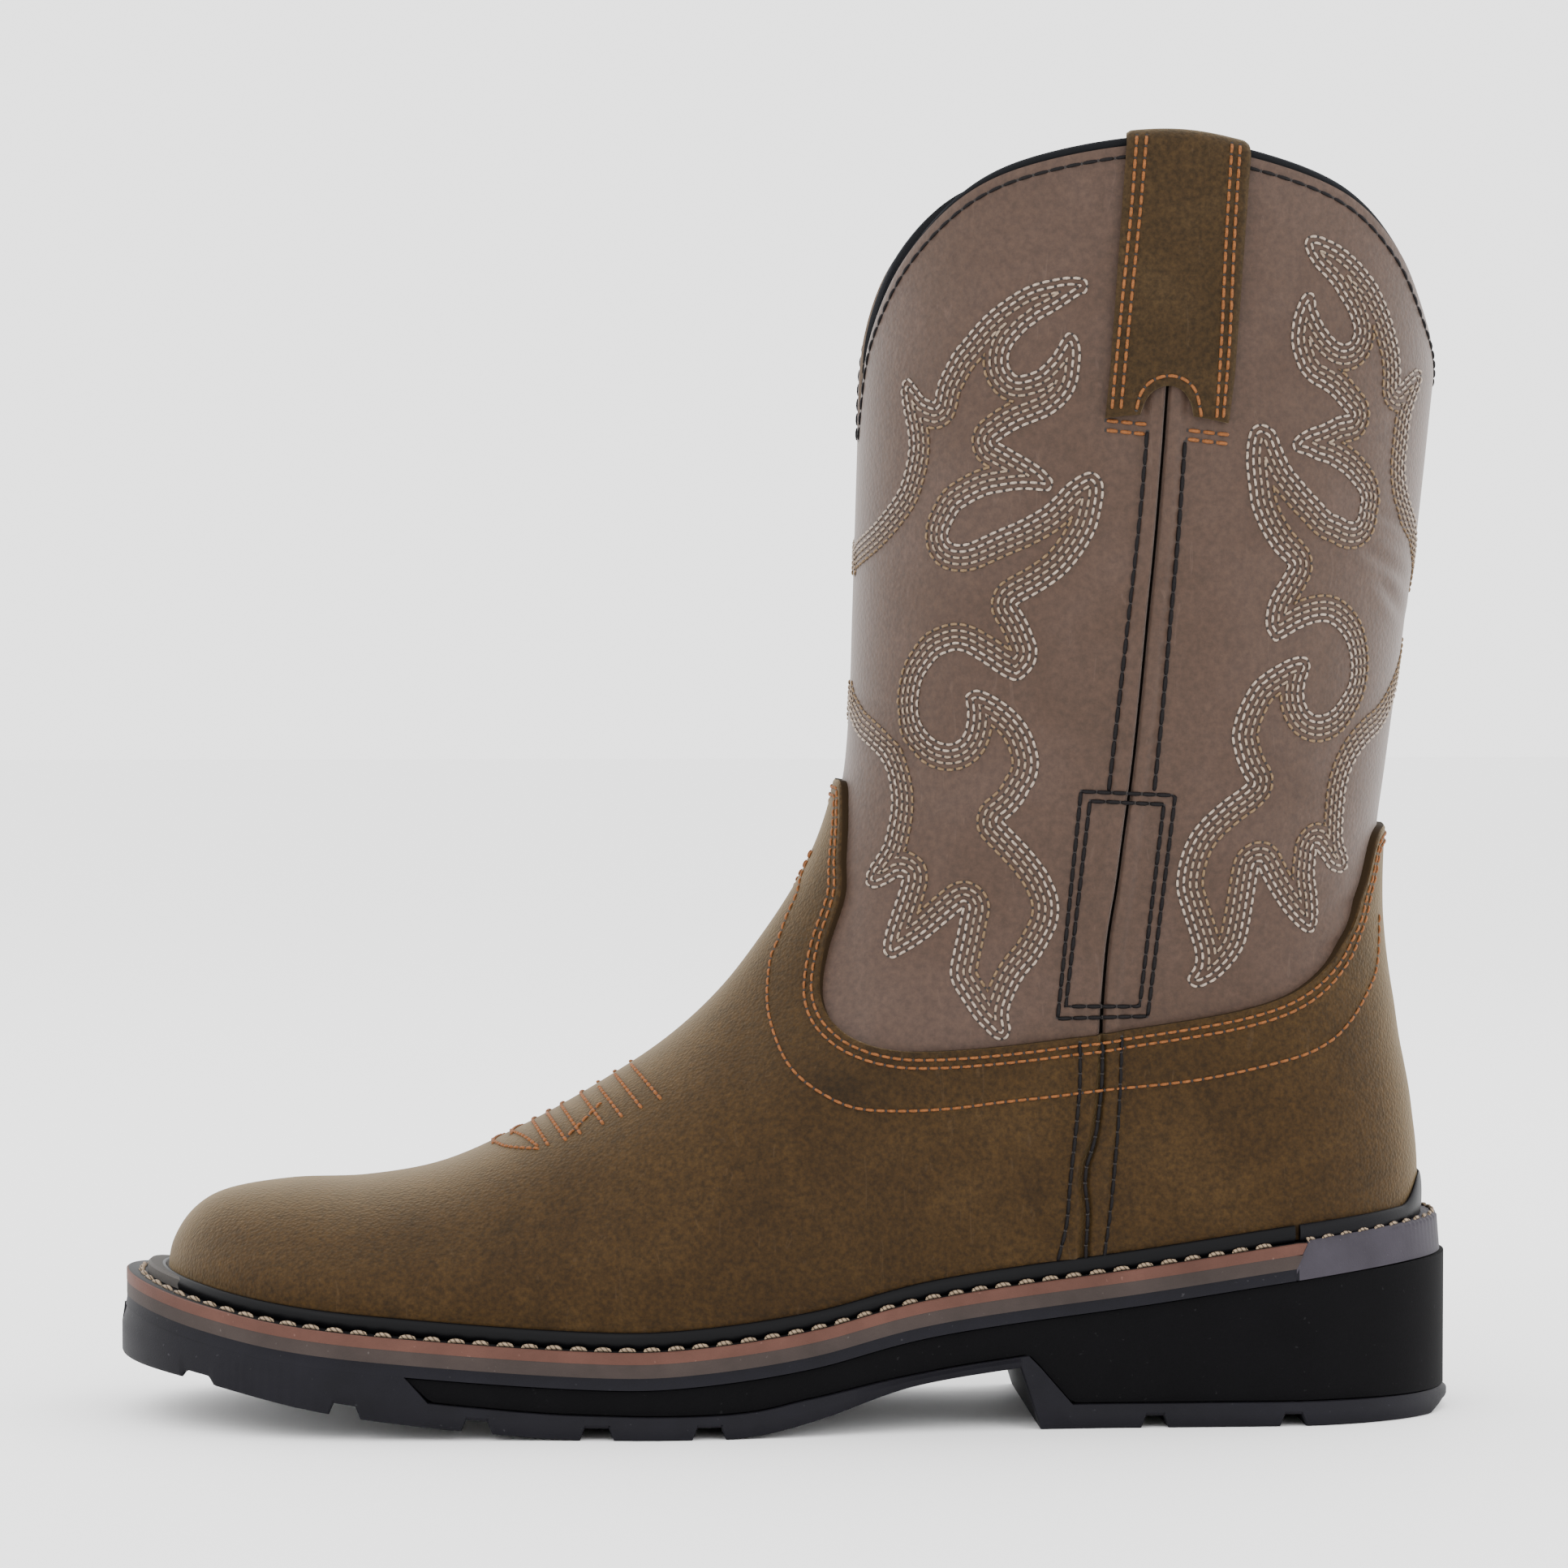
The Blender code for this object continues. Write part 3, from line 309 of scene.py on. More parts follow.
def sole_side(side, along, inset):
    """Across of the sole's edge moved in by the inset, rounded at both ends."""
    nose = np.maximum((along - inset) / (TOE_ROUND - inset), 0.0004)
    tail = np.maximum((SOLE_LENGTH - inset - along) / (HEEL_ROUND - inset), 0.0004)
    half = (side_width(side, along) - inset) * rounding(nose) * rounding(tail)
    return swing(along) + side * half


def edge_loop(places, inset):
    """The sole's outline from the heel along the outer side to the toe and back inside."""
    push = HEEL_PUSH * ease((places - SOLE_LENGTH + END_REACH) / END_REACH)
    push = push - (TOE_PUSH + 0.5 * inset) * ease(1 - places / END_REACH)
    toe = inset * np.clip(1 - places / END_REACH, 0, 1)
    heel = inset * np.clip(1 - (SOLE_LENGTH - places) / END_REACH, 0, 1)
    along = places + toe - heel
    outer = np.stack([along + push, sole_side(-1, along, inset)], -1)[::-1]
    inner = np.stack([along + push, sole_side(1, along, inset)], -1)
    loop = np.concatenate([outer, inner])
    ahead = np.roll(loop, -1, axis=0)
    behind = np.roll(loop, 1, axis=0)
    way = ahead - behind
    normal = unit(np.stack([way[:, 1], -way[:, 0]], -1))
    middle = len(loop) // 2
    outward = np.sign((normal[middle // 2] * (loop[middle // 2] - loop.mean(0))).sum())
    return loop, normal * outward


def add_piece(name, points, faces, materials, replaced=(), smooth=40, indices=None):
    """A mesh object that rides on the boot, with its materials and replaced nodes."""
    mesh = bpy.data.meshes.new(name)
    mesh.from_pydata(np.asarray(points, float).tolist(), [], faces)
    for made in materials:
        mesh.materials.append(made)
    if indices is not None:
        mesh.polygons.foreach_set("material_index", np.asarray(indices, np.int32))
    work = bmesh.new()
    work.from_mesh(mesh)
    bmesh.ops.recalc_face_normals(work, faces=work.faces)
    work.to_mesh(mesh)
    work.free()
    mesh.shade_smooth()
    if smooth < 180:
        mesh.set_sharp_from_angle(angle=math.radians(smooth))
    item = bpy.data.objects.new(name, mesh)
    bpy.context.scene.collection.objects.link(item)
    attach(item, "root")
    if replaced:
        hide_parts(*replaced)
    return item


def layer(name, places, rows, materials, replaced, top_rows=-1, lean=0.0):
    """A sole layer: rows of inset, outward shift and height, from its under side up. Its heel
    end leans back by the lean for each unit of height."""
    rings = []
    for inset, shift, height in rows:
        loop, normal = edge_loop(places, inset)
        out = shift(loop[:, 0]) if callable(shift) else shift
        flat = loop + normal * np.reshape(out, (-1, 1))
        rings.append(np.column_stack([flat[:, 0] - ORIGIN_ALONG, flat[:, 1], height(loop[:, 0])]))
        rings[-1][[0, -1], 0] += lean * (rings[-1][[0, -1], 2] - rings[0][[0, -1], 2])
    count = len(rings[0])
    faces = []
    for k in range(len(rings) - 1):
        for j in range(count):
            n = (j + 1) % count
            faces.append((k * count + j, k * count + n, (k + 1) * count + n, (k + 1) * count + j))
    half = count // 2
    for base in (0, (len(rings) - 1) * count):
        for j in range(half - 1):
            a, b = base + j, base + j + 1
            c, d = base + count - 2 - j, base + count - 1 - j
            faces.append((a, b, c, d))
    start = (len(rings) - 1 - top_rows) * count if top_rows >= 0 else len(faces)
    cap = (len(rings) - 1) * count + half - 1
    indices = [1 if start <= k < cap - half + 1 or (k >= cap and top_rows >= 0) else 0
               for k in range(len(faces))]
    return add_piece(name, np.vstack(rings), faces, materials, replaced,
                     indices=indices)


def add_noise(nodes, links, scale, detail=3.0, rough=0.5, stretch=None, distortion=0.0):
    """A noise texture in the boot's own metres."""
    place = nodes.new("ShaderNodeTexCoord")
    noise = nodes.new("ShaderNodeTexNoise")
    noise.inputs["Scale"].default_value = scale
    noise.inputs["Detail"].default_value = detail
    noise.inputs["Roughness"].default_value = rough
    noise.inputs["Distortion"].default_value = distortion
    source = place.outputs["Object"]
    if stretch:
        turn = nodes.new("ShaderNodeMapping")
        turn.inputs["Scale"].default_value = stretch[0]
        turn.inputs["Rotation"].default_value = stretch[1]
        links.new(source, turn.inputs["Vector"])
        source = turn.outputs["Vector"]
    links.new(source, noise.inputs["Vector"])
    return noise.outputs["Fac"]


def add_ramp(nodes, links, source, stops):
    """A colour ramp with stops of place and colour."""
    ramp = nodes.new("ShaderNodeValToRGB")
    while len(ramp.color_ramp.elements) < len(stops):
        ramp.color_ramp.elements.new(0.5)
    for element, (place, colour) in zip(ramp.color_ramp.elements, stops):
        element.position = place
        element.color = (*colour, 1)
    links.new(source, ramp.inputs["Fac"])
    return ramp.outputs["Color"]


def add_mix(nodes, links, kind, amount, first, second):
    """A colour mix. Amount, first and second are numbers, colours or sockets."""
    mix = nodes.new("ShaderNodeMix")
    mix.data_type = "RGBA"
    mix.blend_type = kind
    for value, socket in ((amount, mix.inputs[0]), (first, mix.inputs[6]), (second, mix.inputs[7])):
        if isinstance(value, bpy.types.NodeSocket):
            links.new(value, socket)
        elif isinstance(value, tuple):
            socket.default_value = (*value, 1)
        else:
            socket.default_value = value
    return mix.outputs[2]


def add_bump(nodes, links, surface, source, strength, distance, under=None):
    bump = nodes.new("ShaderNodeBump")
    bump.inputs["Strength"].default_value = strength
    bump.inputs["Distance"].default_value = distance
    links.new(source, bump.inputs["Height"])
    if under:
        links.new(under, bump.inputs["Normal"])
    links.new(bump.outputs["Normal"], surface.inputs["Normal"])
    return bump.outputs["Normal"]


def rubber(name, colour, rough, speck=0.25):
    """Moulded rubber: faint clouding, fine pores and pale dust specks."""
    made, nodes, links, surface = shader(name, colour, rough)
    surface.inputs["Specular IOR Level"].default_value = 0.10
    cloud = add_noise(nodes, links, 60.0, 4.0, 0.6)
    dark = tuple(c * 0.80 for c in colour)
    light = tuple(min(c * 1.22, 1.0) for c in colour)
    body = add_ramp(nodes, links, cloud, ((0.3, dark), (0.7, light)))
    dust = add_noise(nodes, links, 900.0, 1.0, 0.5)
    spots = add_ramp(nodes, links, dust, ((0.74, (0, 0, 0)), (0.80, (1, 1, 1))))
    pale = tuple(min(c * 2.5 + 0.05, 1.0) for c in colour)
    amount = nodes.new("ShaderNodeMath")
    amount.operation = "MULTIPLY"
    amount.inputs[1].default_value = speck
    links.new(spots, amount.inputs[0])
    skin = add_mix(nodes, links, "MIX", amount.outputs[0], body, pale)
    links.new(skin, surface.inputs["Base Color"])
    pores = add_noise(nodes, links, 2600.0, 2.0, 0.6)
    add_bump(nodes, links, surface, pores, 0.25, 0.0002)
    return made


groove_edges = []
for middle, width, depth in TREAD_GROOVES:
    for side in (-1, 1):
        for step in (-GROOVE_WALL / 2, 0.0, GROOVE_WALL / 2):
            groove_edges.append(middle + side * width / 2 + step)
tread_places = stations(420, extra=groove_edges + [
    CORE_START, CORE_START + CORE_SLANT, BREAST - BREAST_SLOPE, BREAST - BREAST_SLOPE + BAND_LEAD,
    BREAST, BREAST + BREAST_WALL, SOLE_LENGTH - REAR_BEVEL])


def side_ribs(along):
    """Fine upright ribs low on the side of the forepart."""
    start, end = RIBBED_SPAN
    inside = ease((along - start) / RIB_FADE) * ease((end - along) / RIB_FADE)
    return -RIB_DEPTH * inside * (0.5 + 0.5 * np.sin(along / RIB_PITCH * 2 * math.pi))


def tread_low(along):
    return tread_bottom(along) + tread_groove(along)


def ribs_end(along):
    """The ribs fade out from here up to the tread's top."""
    return tread_bottom(along) + RIB_SHARE * (tread_top(along) - tread_bottom(along))


slate = rubber("slate_rubber", SLATE, 0.62)
layer("tread", tread_places, [
    (0.0, -EDGE_ROUND * 2, tread_low),
    (0.0, -EDGE_ROUND * 0.5, lambda a: tread_low(a) + EDGE_ROUND * 0.4),
    (0.0, side_ribs, lambda a: tread_low(a) + EDGE_ROUND * 1.6),
    (0.0, side_ribs, ribs_end),
    (TREAD_TOP_INSET, block_shift, lambda a: tread_top(a) - EDGE_ROUND * 0.5),
    (TREAD_TOP_INSET, block_shift, tread_top),
    (TREAD_TOP_INSET, -EDGE_ROUND * 2, tread_top),
], [slate], ["outsole"])


# Core
# A black foam wedge between the tread and the slate layer, cemented to both. It is set back
# from their edges along the sides and comes out almost flush round the back of the heel.
CORE_RECESS = 0.0026
HEEL_RECESS = 0.0008
FILL_START = SOLE_LENGTH - 0.030
FILL_SPAN = 0.026
CORE_BLACK = (0.0014, 0.0013, 0.0017)


def core_low(along):
    fall = np.clip((along - CORE_START - 2 * GAP) / CORE_SLANT, 0, 1)
    return (frame_bottom(along) - 2 * GAP) * (1 - fall) + (band_top(along) + GAP) * fall


def heel_fill(along):
    return (CORE_RECESS - HEEL_RECESS) * ease((along - FILL_START) / FILL_SPAN)


core_places = stations(300, start=CORE_START + 2 * GAP, extra=[CORE_START + CORE_SLANT, BREAST])
layer("core", core_places, [
    (CORE_RECESS, heel_fill, core_low),
    (CORE_RECESS, heel_fill, lambda a: frame_bottom(a) - GAP),
], [rubber("black_core", CORE_BLACK, 0.9, 0.12)], ["sole_core"])


# Slate layer
# A dark rubber layer under the whole foot. At the back it climbs into a paler band that takes
# the place of the stripe and the welt, with a slanted joint and a finely milled top edge.
STRIPE_END = 0.0385
STRIPE_SLANT = 0.0028
SEAM_OVERLAP = 0.00015
MILL_PITCH = 0.0011
MILL_DEPTH = 0.00035
BAND_EDGE_ROUND = 0.0007
HEEL_BAND = (0.0300, 0.0265, 0.0335)
stripe_lean = STRIPE_SLANT / (WELT_THICKNESS + MIDSOLE_THICKNESS + 2 * GAP)
stripe_edge = SOLE_LENGTH - STRIPE_END


def frame_top(along):
    low = welt_top(along) - WELT_THICKNESS - MIDSOLE_THICKNESS - 2 * GAP
    rise = np.clip((along - stripe_edge) / STRIPE_SLANT, 0, 1)
    return low + (welt_top(along) - low) * rise


def at_heel(along):
    return ease((along - stripe_edge - 0.0015) / 0.0025)


def heel_milling(along):
    """The heel band's top edge is milled into fine teeth."""
    return -MILL_DEPTH * at_heel(along) * (0.5 + 0.5 * np.sin(along / MILL_PITCH * 2 * math.pi))


heel_band = rubber("heel_band", HEEL_BAND, 0.62)
slate_places = stations(420, extra=[stripe_edge, stripe_edge + STRIPE_SLANT])
slate_layer = layer("slate_layer", slate_places, [
    (SOLE_FLARE * 0.75, 0.0, frame_bottom),
    (SOLE_FLARE, 0.0, lambda a: frame_top(a) - 0.0012),
    (SOLE_FLARE, heel_milling, lambda a: frame_top(a) - 0.0004 * at_heel(a)),
    (SOLE_FLARE, lambda a: heel_milling(a) - BAND_EDGE_ROUND * at_heel(a),
     lambda a: frame_top(a) + SEAM_OVERLAP * at_heel(a)),
], [slate, heel_band], ["sole_frame"])
joint_x = stripe_edge - ORIGIN_ALONG
for spot in slate_layer.data.vertices:
    if abs(spot.co.x - joint_x) < 1e-5 and spot.co.z < frame_bottom(stripe_edge) + 1e-5:
        spot.co.x -= stripe_lean * FRAME_THICKNESS
for face in slate_layer.data.polygons:
    if face.center.x > joint_x + STRIPE_SLANT * 0.1:
        face.material_index = 1


# Grey stripe
# A thin grey-brown rubber sheet between the slate layer and the welt, cemented to both. It
# ends at the heel band's slanted joint.
GREY_BROWN = (0.032, 0.024, 0.0215)

layer("grey_midsole", stations(300, end=stripe_edge), [
    (SOLE_FLARE, 0.00005, lambda a: welt_top(a) - WELT_THICKNESS - MIDSOLE_THICKNESS - 2 * GAP),
    (SOLE_FLARE, 0.00005, lambda a: welt_top(a) - WELT_THICKNESS),
], [rubber("grey_brown_stripe", GREY_BROWN, 0.66)], ["midsole"],
    lean=stripe_lean)


# Welt
# A rust-brown rubber strip with a black top face, cemented to the layers under it and
# stitched through with thick twisted cream thread that lies in slots along its outer rim.
WELT_ROUND = 0.0003
RUST = (0.069, 0.0315, 0.0235)
WELT_BLACK = (0.0030, 0.0029, 0.0034)

rust_stripe = rubber("rust_stripe", RUST, 0.62)
black_top = rubber("welt_top", WELT_BLACK, 0.55, 0.1)
layer("welt_strip", stations(300, end=stripe_edge + 0.45 * STRIPE_SLANT), [
    (SOLE_FLARE, 0.0001, lambda a: welt_top(a) - WELT_THICKNESS),
    (SOLE_FLARE, 0.0001, lambda a: welt_top(a) - WELT_ROUND),
    (SOLE_FLARE, -WELT_ROUND, lambda a: welt_top(a) - 0.00008),
    (SOLE_FLARE, -0.0007, welt_top),
], [rust_stripe, black_top], ["welt"], top_rows=1, lean=stripe_lean)


# Shaft
# The taupe leather tube of the boot, cut as a front and a back panel. They are sewn into a
# raised seam with a groove down each side, and the collar dips at the front and the back.
TOE_MARGIN = 0.0120
SIDE_MARGIN = 0.0096
HEEL_MARGIN = 0.0074
SEAT_GAP = 0.0005
INSTEP_HEIGHT = 0.151
COLLAR_FRONT = 0.2293
COLLAR_BACK = 0.2440
COLLAR_SIDE = 0.2970
SHAFT_DEPTH = 0.1365
SHAFT_WIDTH = 0.1030
ANKLE_WIDTH = 0.0760
WALL = 0.0020
SEAM_WIDTH = 0.0084
SEAM_RAISE = 0.0009
SEAM_GROOVE = 0.0016
SEAM_GROOVE_WIDTH = 0.00060
FOLD_LIP = 0.0004
SEAM_HALF = 0.080
ANKLE_SHARE = 14 / 18
FOLLOW_SHARE = 0.6 * ANKLE_SHARE
FOLLOW_POWER = 1.4
FORM_POWER = 2.15
ROUND_SHARE = 0.85
BLEND_START = 0.42 * INSTEP_HEIGHT
BLEND_SPAN = 0.53 * INSTEP_HEIGHT
RIDGE_START = 0.38 * INSTEP_HEIGHT
RIDGE_SPAN = 0.30 * INSTEP_HEIGHT
FOOT_BULGE = 0.035
BULGE_HEIGHT = 0.07
NORMAL_STEP = 0.02
LEVEL_RING = 0.04
OVER_COLLAR = COLLAR_SIDE + 0.010
HIDDEN_RING = 0.42
COLLAR_EDGE = 0.0011
COLLAR_ROUND = 0.0003
COLLAR_TURN_IN = 0.006
# Half width, in columns, of the strip of painted shade down the middle of the seam's groove
GROOVE_SHADE_HALF = 0.0031
EDGE_BROWN = (0.075, 0.050, 0.032)
# Colour of the painted shade in the seam's groove
GROOVE_SHADE_BROWN = (0.0022, 0.0014, 0.0010)

# Lengthways sections, welt to ankle: front along, front height, back along, back height
FOOT_SECTIONS = (
    (0.0385, None, 0.9763, None), (0.0420, 0.262, 0.9770, 0.345), (0.0570, 0.313, 0.9768, 0.384),
    (0.0820, 0.344, 0.9755, 0.421), (0.1280, 0.362, 0.9733, 0.457), (0.1850, 0.366, 0.9708, 0.497),
    (0.2440, 0.386, 0.9673, 0.536), (0.3040, 0.437, 0.9628, 0.583), (0.3620, 0.500, 0.9590, 0.636),
    (0.4130, 0.569, 0.9548, 0.689), (0.4545, 0.647, 0.9516, 0.742), (0.4880, 0.735, 0.9498, 0.795),
    (0.5165, 0.826, 0.9498, 0.854), (0.5355, 0.914, 0.9516, 0.921), (0.5455, 1.000, 0.9568, 1.000),
)
# The same for the shaft: front along, rise in front, back along, rise behind
SHAFT_SECTIONS = (
    (0.5500, 0.22, 0.9644, 0.19), (0.5520, 0.47, 0.9728, 0.40),
    (0.5540, 0.73, 0.9817, 0.62), (0.5560, 1.00, 0.9935, 1.00),
)
SHAFT_WIDTHS = (
    (0.15, 0.470 * ANKLE_WIDTH), (0.28, 0.485 * ANKLE_WIDTH), (0.36, 0.500 * ANKLE_WIDTH),
    (0.46, 0.420 * SHAFT_WIDTH), (0.58, 0.458 * SHAFT_WIDTH), (0.75, 0.487 * SHAFT_WIDTH),
    (1.00, 0.500 * SHAFT_WIDTH),
)
# Side seam: ring share, then turn from the front in degrees
SEAM_LINE = ((0.00, 116.8), (0.12, 116.0), (0.25, 112.5), (0.39, 106.8), (0.53, 98.2),
             (0.65, 92.5), (0.78, 89.5), (1.00, 90.0))
# Raised seam across: distance from its middle as a share of its width, then share of its rise
SEAM_PROFILE = ((0, 1.0), (0.12, 1.1), (0.36, 1.0), (0.47, 0.55), (0.56, 0))
# Collar: turn from the front in degrees, then share of its rise to the side
COLLAR_LINE = ((0.0, 0.000), (8.0, 0.300), (16.0, 0.470), (30.0, 0.700), (48.0, 0.905),
               (66.0, 0.988), (88.0, 1.000), (106.0, 0.910), (128.0, 0.735), (145.0, 0.500),
               (160.0, 0.235), (180.0, 0.000))
# Soft creases: ends as (x, z), depth and half width
CREASES = (
    ((0.031, 0.205), (0.047, 0.196), 0.00045, 0.0016),
    ((0.034, 0.213), (0.048, 0.208), 0.00035, 0.0013),
    ((0.036, 0.198), (0.046, 0.187), 0.00040, 0.0015),
    ((0.020, 0.116), (0.036, 0.124), 0.00035, 0.0018),
    ((0.018, 0.108), (0.034, 0.114), 0.00030, 0.0016),
    ((-0.083, 0.168), (-0.070, 0.163), 0.00040, 0.0020),
    ((-0.082, 0.158), (-0.066, 0.156), 0.00035, 0.0016),
)


def margin(along):
    return np.interp(along, (0, 0.30 * SOLE_LENGTH, 0.70 * SOLE_LENGTH, SOLE_LENGTH),
                     (TOE_MARGIN, SIDE_MARGIN, SIDE_MARGIN * 0.85, HEEL_MARGIN))


def form_rows():
    rows = []
    for front, front_up, back, back_up in FOOT_SECTIONS:
        front, back = front * SOLE_LENGTH, back * SOLE_LENGTH
        low_front = float(welt_top(front)) + SEAT_GAP
        low_back = float(welt_top(back)) + SEAT_GAP
        rows.append((front, low_front if front_up is None else front_up * INSTEP_HEIGHT,
                     back, low_back if back_up is None else back_up * INSTEP_HEIGHT))
    ankle_back = rows[-1][2]
    top_front = SHAFT_SECTIONS[-1][0] * SOLE_LENGTH
    for front, front_up, back, back_up in SHAFT_SECTIONS:
        flare = (back - FOOT_SECTIONS[-1][2]) / (SHAFT_SECTIONS[-1][2] - FOOT_SECTIONS[-1][2])
        rows.append((front * SOLE_LENGTH, INSTEP_HEIGHT + front_up * (COLLAR_FRONT - INSTEP_HEIGHT),
                     ankle_back + flare * (top_front + SHAFT_DEPTH - ankle_back),
                     INSTEP_HEIGHT + back_up * (COLLAR_BACK - INSTEP_HEIGHT)))
    return rows


FORM_CURVE = smooth_line(form_rows())
RING_SHARES = np.linspace(0, 1, len(FORM_CURVE))


def welt_follow(ring):
    """How far a ring still follows the welt's line: 1 on the welt, 0 from the instep up."""
    return np.clip(1 - ring / FOLLOW_SHARE, 0, 1) ** FOLLOW_POWER


ridge_up = FORM_CURVE[:, 1] + (welt_top(FORM_CURVE[:, 0]) + SEAT_GAP
                               - FORM_CURVE[0, 1]) * welt_follow(RING_SHARES)
FRONT_LINE = np.vstack([np.column_stack([FORM_CURVE[:, 0], ridge_up]),
                        (FORM_CURVE[-1, 0] + 0.001, OVER_COLLAR)])
BACK_LINE = np.vstack([FORM_CURVE[:, 2:], (FORM_CURVE[-1, 2] + 0.001, OVER_COLLAR)])
WIDTH_CURVE = smooth_line(SHAFT_WIDTHS)
SEAM_CURVE = smooth_line(SEAM_LINE)
COLLAR_CURVE = smooth_line(COLLAR_LINE)


def half_width(side, along, up):
    """Half width of the form, foot below and shaft above, rounded to its front and back."""
    foot = side_width(side, along) - margin(along)
    foot = foot * rounding((along - TOE_MARGIN) / (TOE_ROUND - TOE_MARGIN))
    ridge = np.interp(along, FRONT_LINE[:, 0], FRONT_LINE[:, 1], right=9.0)
    low_edge = welt_top(along)
    tall = np.maximum(ridge - low_edge, 1e-4)
    rise = np.clip((up - low_edge) / np.minimum(tall, BULGE_HEIGHT), 0, 1)
    foot = foot * (1 + FOOT_BULGE * np.sin(math.pi * np.clip(rise * 1.5, 0, 1)) ** 2)
    shaft = np.interp(up / COLLAR_SIDE, WIDTH_CURVE[:, 0], WIDTH_CURVE[:, 1])
    mix = ease((up - BLEND_START) / BLEND_SPAN)
    half = foot * (1 - mix) + shaft * mix
    drop = np.maximum(ridge - up, 0)
    reach = np.maximum(along - np.interp(up, FRONT_LINE[:, 1], FRONT_LINE[:, 0]), 0)
    reach = reach / np.maximum(ease((up - RIDGE_START) / RIDGE_SPAN), 1e-3)
    depth = drop * reach / np.sqrt(drop ** 2 + reach ** 2 + 1e-12)
    half = half * rounding(depth / np.minimum(ROUND_SHARE * tall, SHAFT_DEPTH / 2), FORM_POWER)
    back = np.interp(up, BACK_LINE[:, 1], BACK_LINE[:, 0])
    heel = HEEL_ROUND - HEEL_MARGIN
    straight = ease((up - BLEND_START) / (COLLAR_BACK - BLEND_START))
    tail = heel + (SHAFT_DEPTH / 2 - heel) * straight
    return half * rounding((back - along) / tail, FORM_POWER)


def form_point(angle, ring):
    """A point of the form. The angle is 0 in front and pi behind, minus on the outer side."""
    angle, ring = np.broadcast_arrays(np.asarray(angle, float), np.asarray(ring, float))
    side = np.where(angle < 0, -1.0, 1.0)
    turn = np.abs(angle)
    u = (1 - np.cos(turn)) / 2
    front, front_up, back, back_up = (
        np.interp(ring, RING_SHARES, FORM_CURVE[:, k]) for k in range(4))
    along = front + (back - front) * u
    share = np.clip((ring - ANKLE_SHARE) / (1 - ANKLE_SHARE), 0, 1)
    up = front_up + (back_up - front_up) * u ** (2 - share)
    low_front, low_back = FORM_CURVE[0, 1], FORM_CURVE[0, 3]
    off_welt = welt_top(along) + SEAT_GAP - low_front - (low_back - low_front) * u ** 2
    up = up + off_welt * welt_follow(ring)
    peak = COLLAR_SIDE - (COLLAR_FRONT + COLLAR_BACK) / 2
    rise = np.interp(np.degrees(turn), COLLAR_CURVE[:, 0], COLLAR_CURVE[:, 1])
    up = up + peak * share ** 1.4 * rise
    at_front = np.interp(up, FRONT_LINE[:, 1], FRONT_LINE[:, 0])
    at_back = np.interp(up, BACK_LINE[:, 1], BACK_LINE[:, 0])
    along = np.where(share > 0, at_front + (at_back - at_front) * u, along)
    half = half_width(side, along, up)
    half = np.where((turn < 1e-6) | (turn > math.pi - 1e-6), 0.0, half)
    return np.stack([along - ORIGIN_ALONG, swing(along) + side * half, up], -1)


def form_normal(angle, ring):
    """The outward way of the form. It is turned level at the seat on the welt."""
    angle, ring = np.broadcast_arrays(np.asarray(angle, float), np.asarray(ring, float))
    wrap = lambda a: (a + math.pi) % (2 * math.pi) - math.pi
    round_way = (form_point(wrap(angle + NORMAL_STEP), ring)
                 - form_point(wrap(angle - NORMAL_STEP), ring))
    up_way = (form_point(angle, np.minimum(ring + NORMAL_STEP, 1))
              - form_point(angle, np.maximum(ring - NORMAL_STEP, 0)))
    out = unit(np.cross(up_way, round_way))
    level = out.copy()
    level[..., 2] = 0
    edge = np.clip(1 - ring / LEVEL_RING, 0, 1)[..., None]
    return unit(out * (1 - edge) + unit(level) * edge)


def seam_angle(ring):
    return np.radians(np.interp(ring, SEAM_CURVE[:, 0], SEAM_CURVE[:, 1]))


def crease_lift(points):
    """Soft troughs with a low ridge beside them, near the points' places seen from the side."""
    lift = np.zeros(points.shape[:-1])
    flat = points[..., [0, 2]]
    for start, end, depth, wide in CREASES:
        start, end = np.array(start), np.array(end)
        way = end - start
        t = np.clip(((flat - start) @ way) / (way @ way), 0, 1)
        off = np.linalg.norm(flat - start - t[..., None] * way, axis=-1)
        fade = np.sin(math.pi * np.clip(t * 0.94 + 0.03, 0, 1))
        lift += depth * fade * (0.45 * np.exp(-((off - 2 * wide) / wide) ** 2)
                                - np.exp(-(off / wide) ** 2))
    return lift


def seam_lift(column, groove=SEAM_GROOVE):
    """The raised seam beside column 1 or -1, with a sharp groove down its middle."""
    way = (np.abs(column) - 1) * SHAFT_DEPTH * math.pi / 4
    off = np.abs(way)
    fold = np.interp(off / SEAM_WIDTH, *zip(*SEAM_PROFILE))
    lip = FOLD_LIP * np.exp(-((way + 1.5 * SEAM_GROOVE_WIDTH) / SEAM_GROOVE_WIDTH) ** 2)
    return SEAM_RAISE * fold + lip - groove * np.exp(-(off / SEAM_GROOVE_WIDTH) ** 2)


def column_angle(column, ring):
    """Column 0 is the front, 1 the side seam and 2 the back, minus on the outer side."""
    side = np.where(column < 0, -1.0, 1.0)
    turn = np.abs(column)
    seam = seam_angle(ring)
    return side * np.where(turn < 1, turn * seam, seam + (turn - 1) * (math.pi - seam))


def grid_faces(rows, columns, closed):
    row = np.arange(rows - 1)[:, None]
    col = np.arange(columns if closed else columns - 1)[None, :]
    nxt = (col + 1) % columns
    quads = np.stack([row * columns + col, row * columns + nxt,
                      (row + 1) * columns + nxt, (row + 1) * columns + col], -1)
    return quads.reshape(-1, 4).tolist()


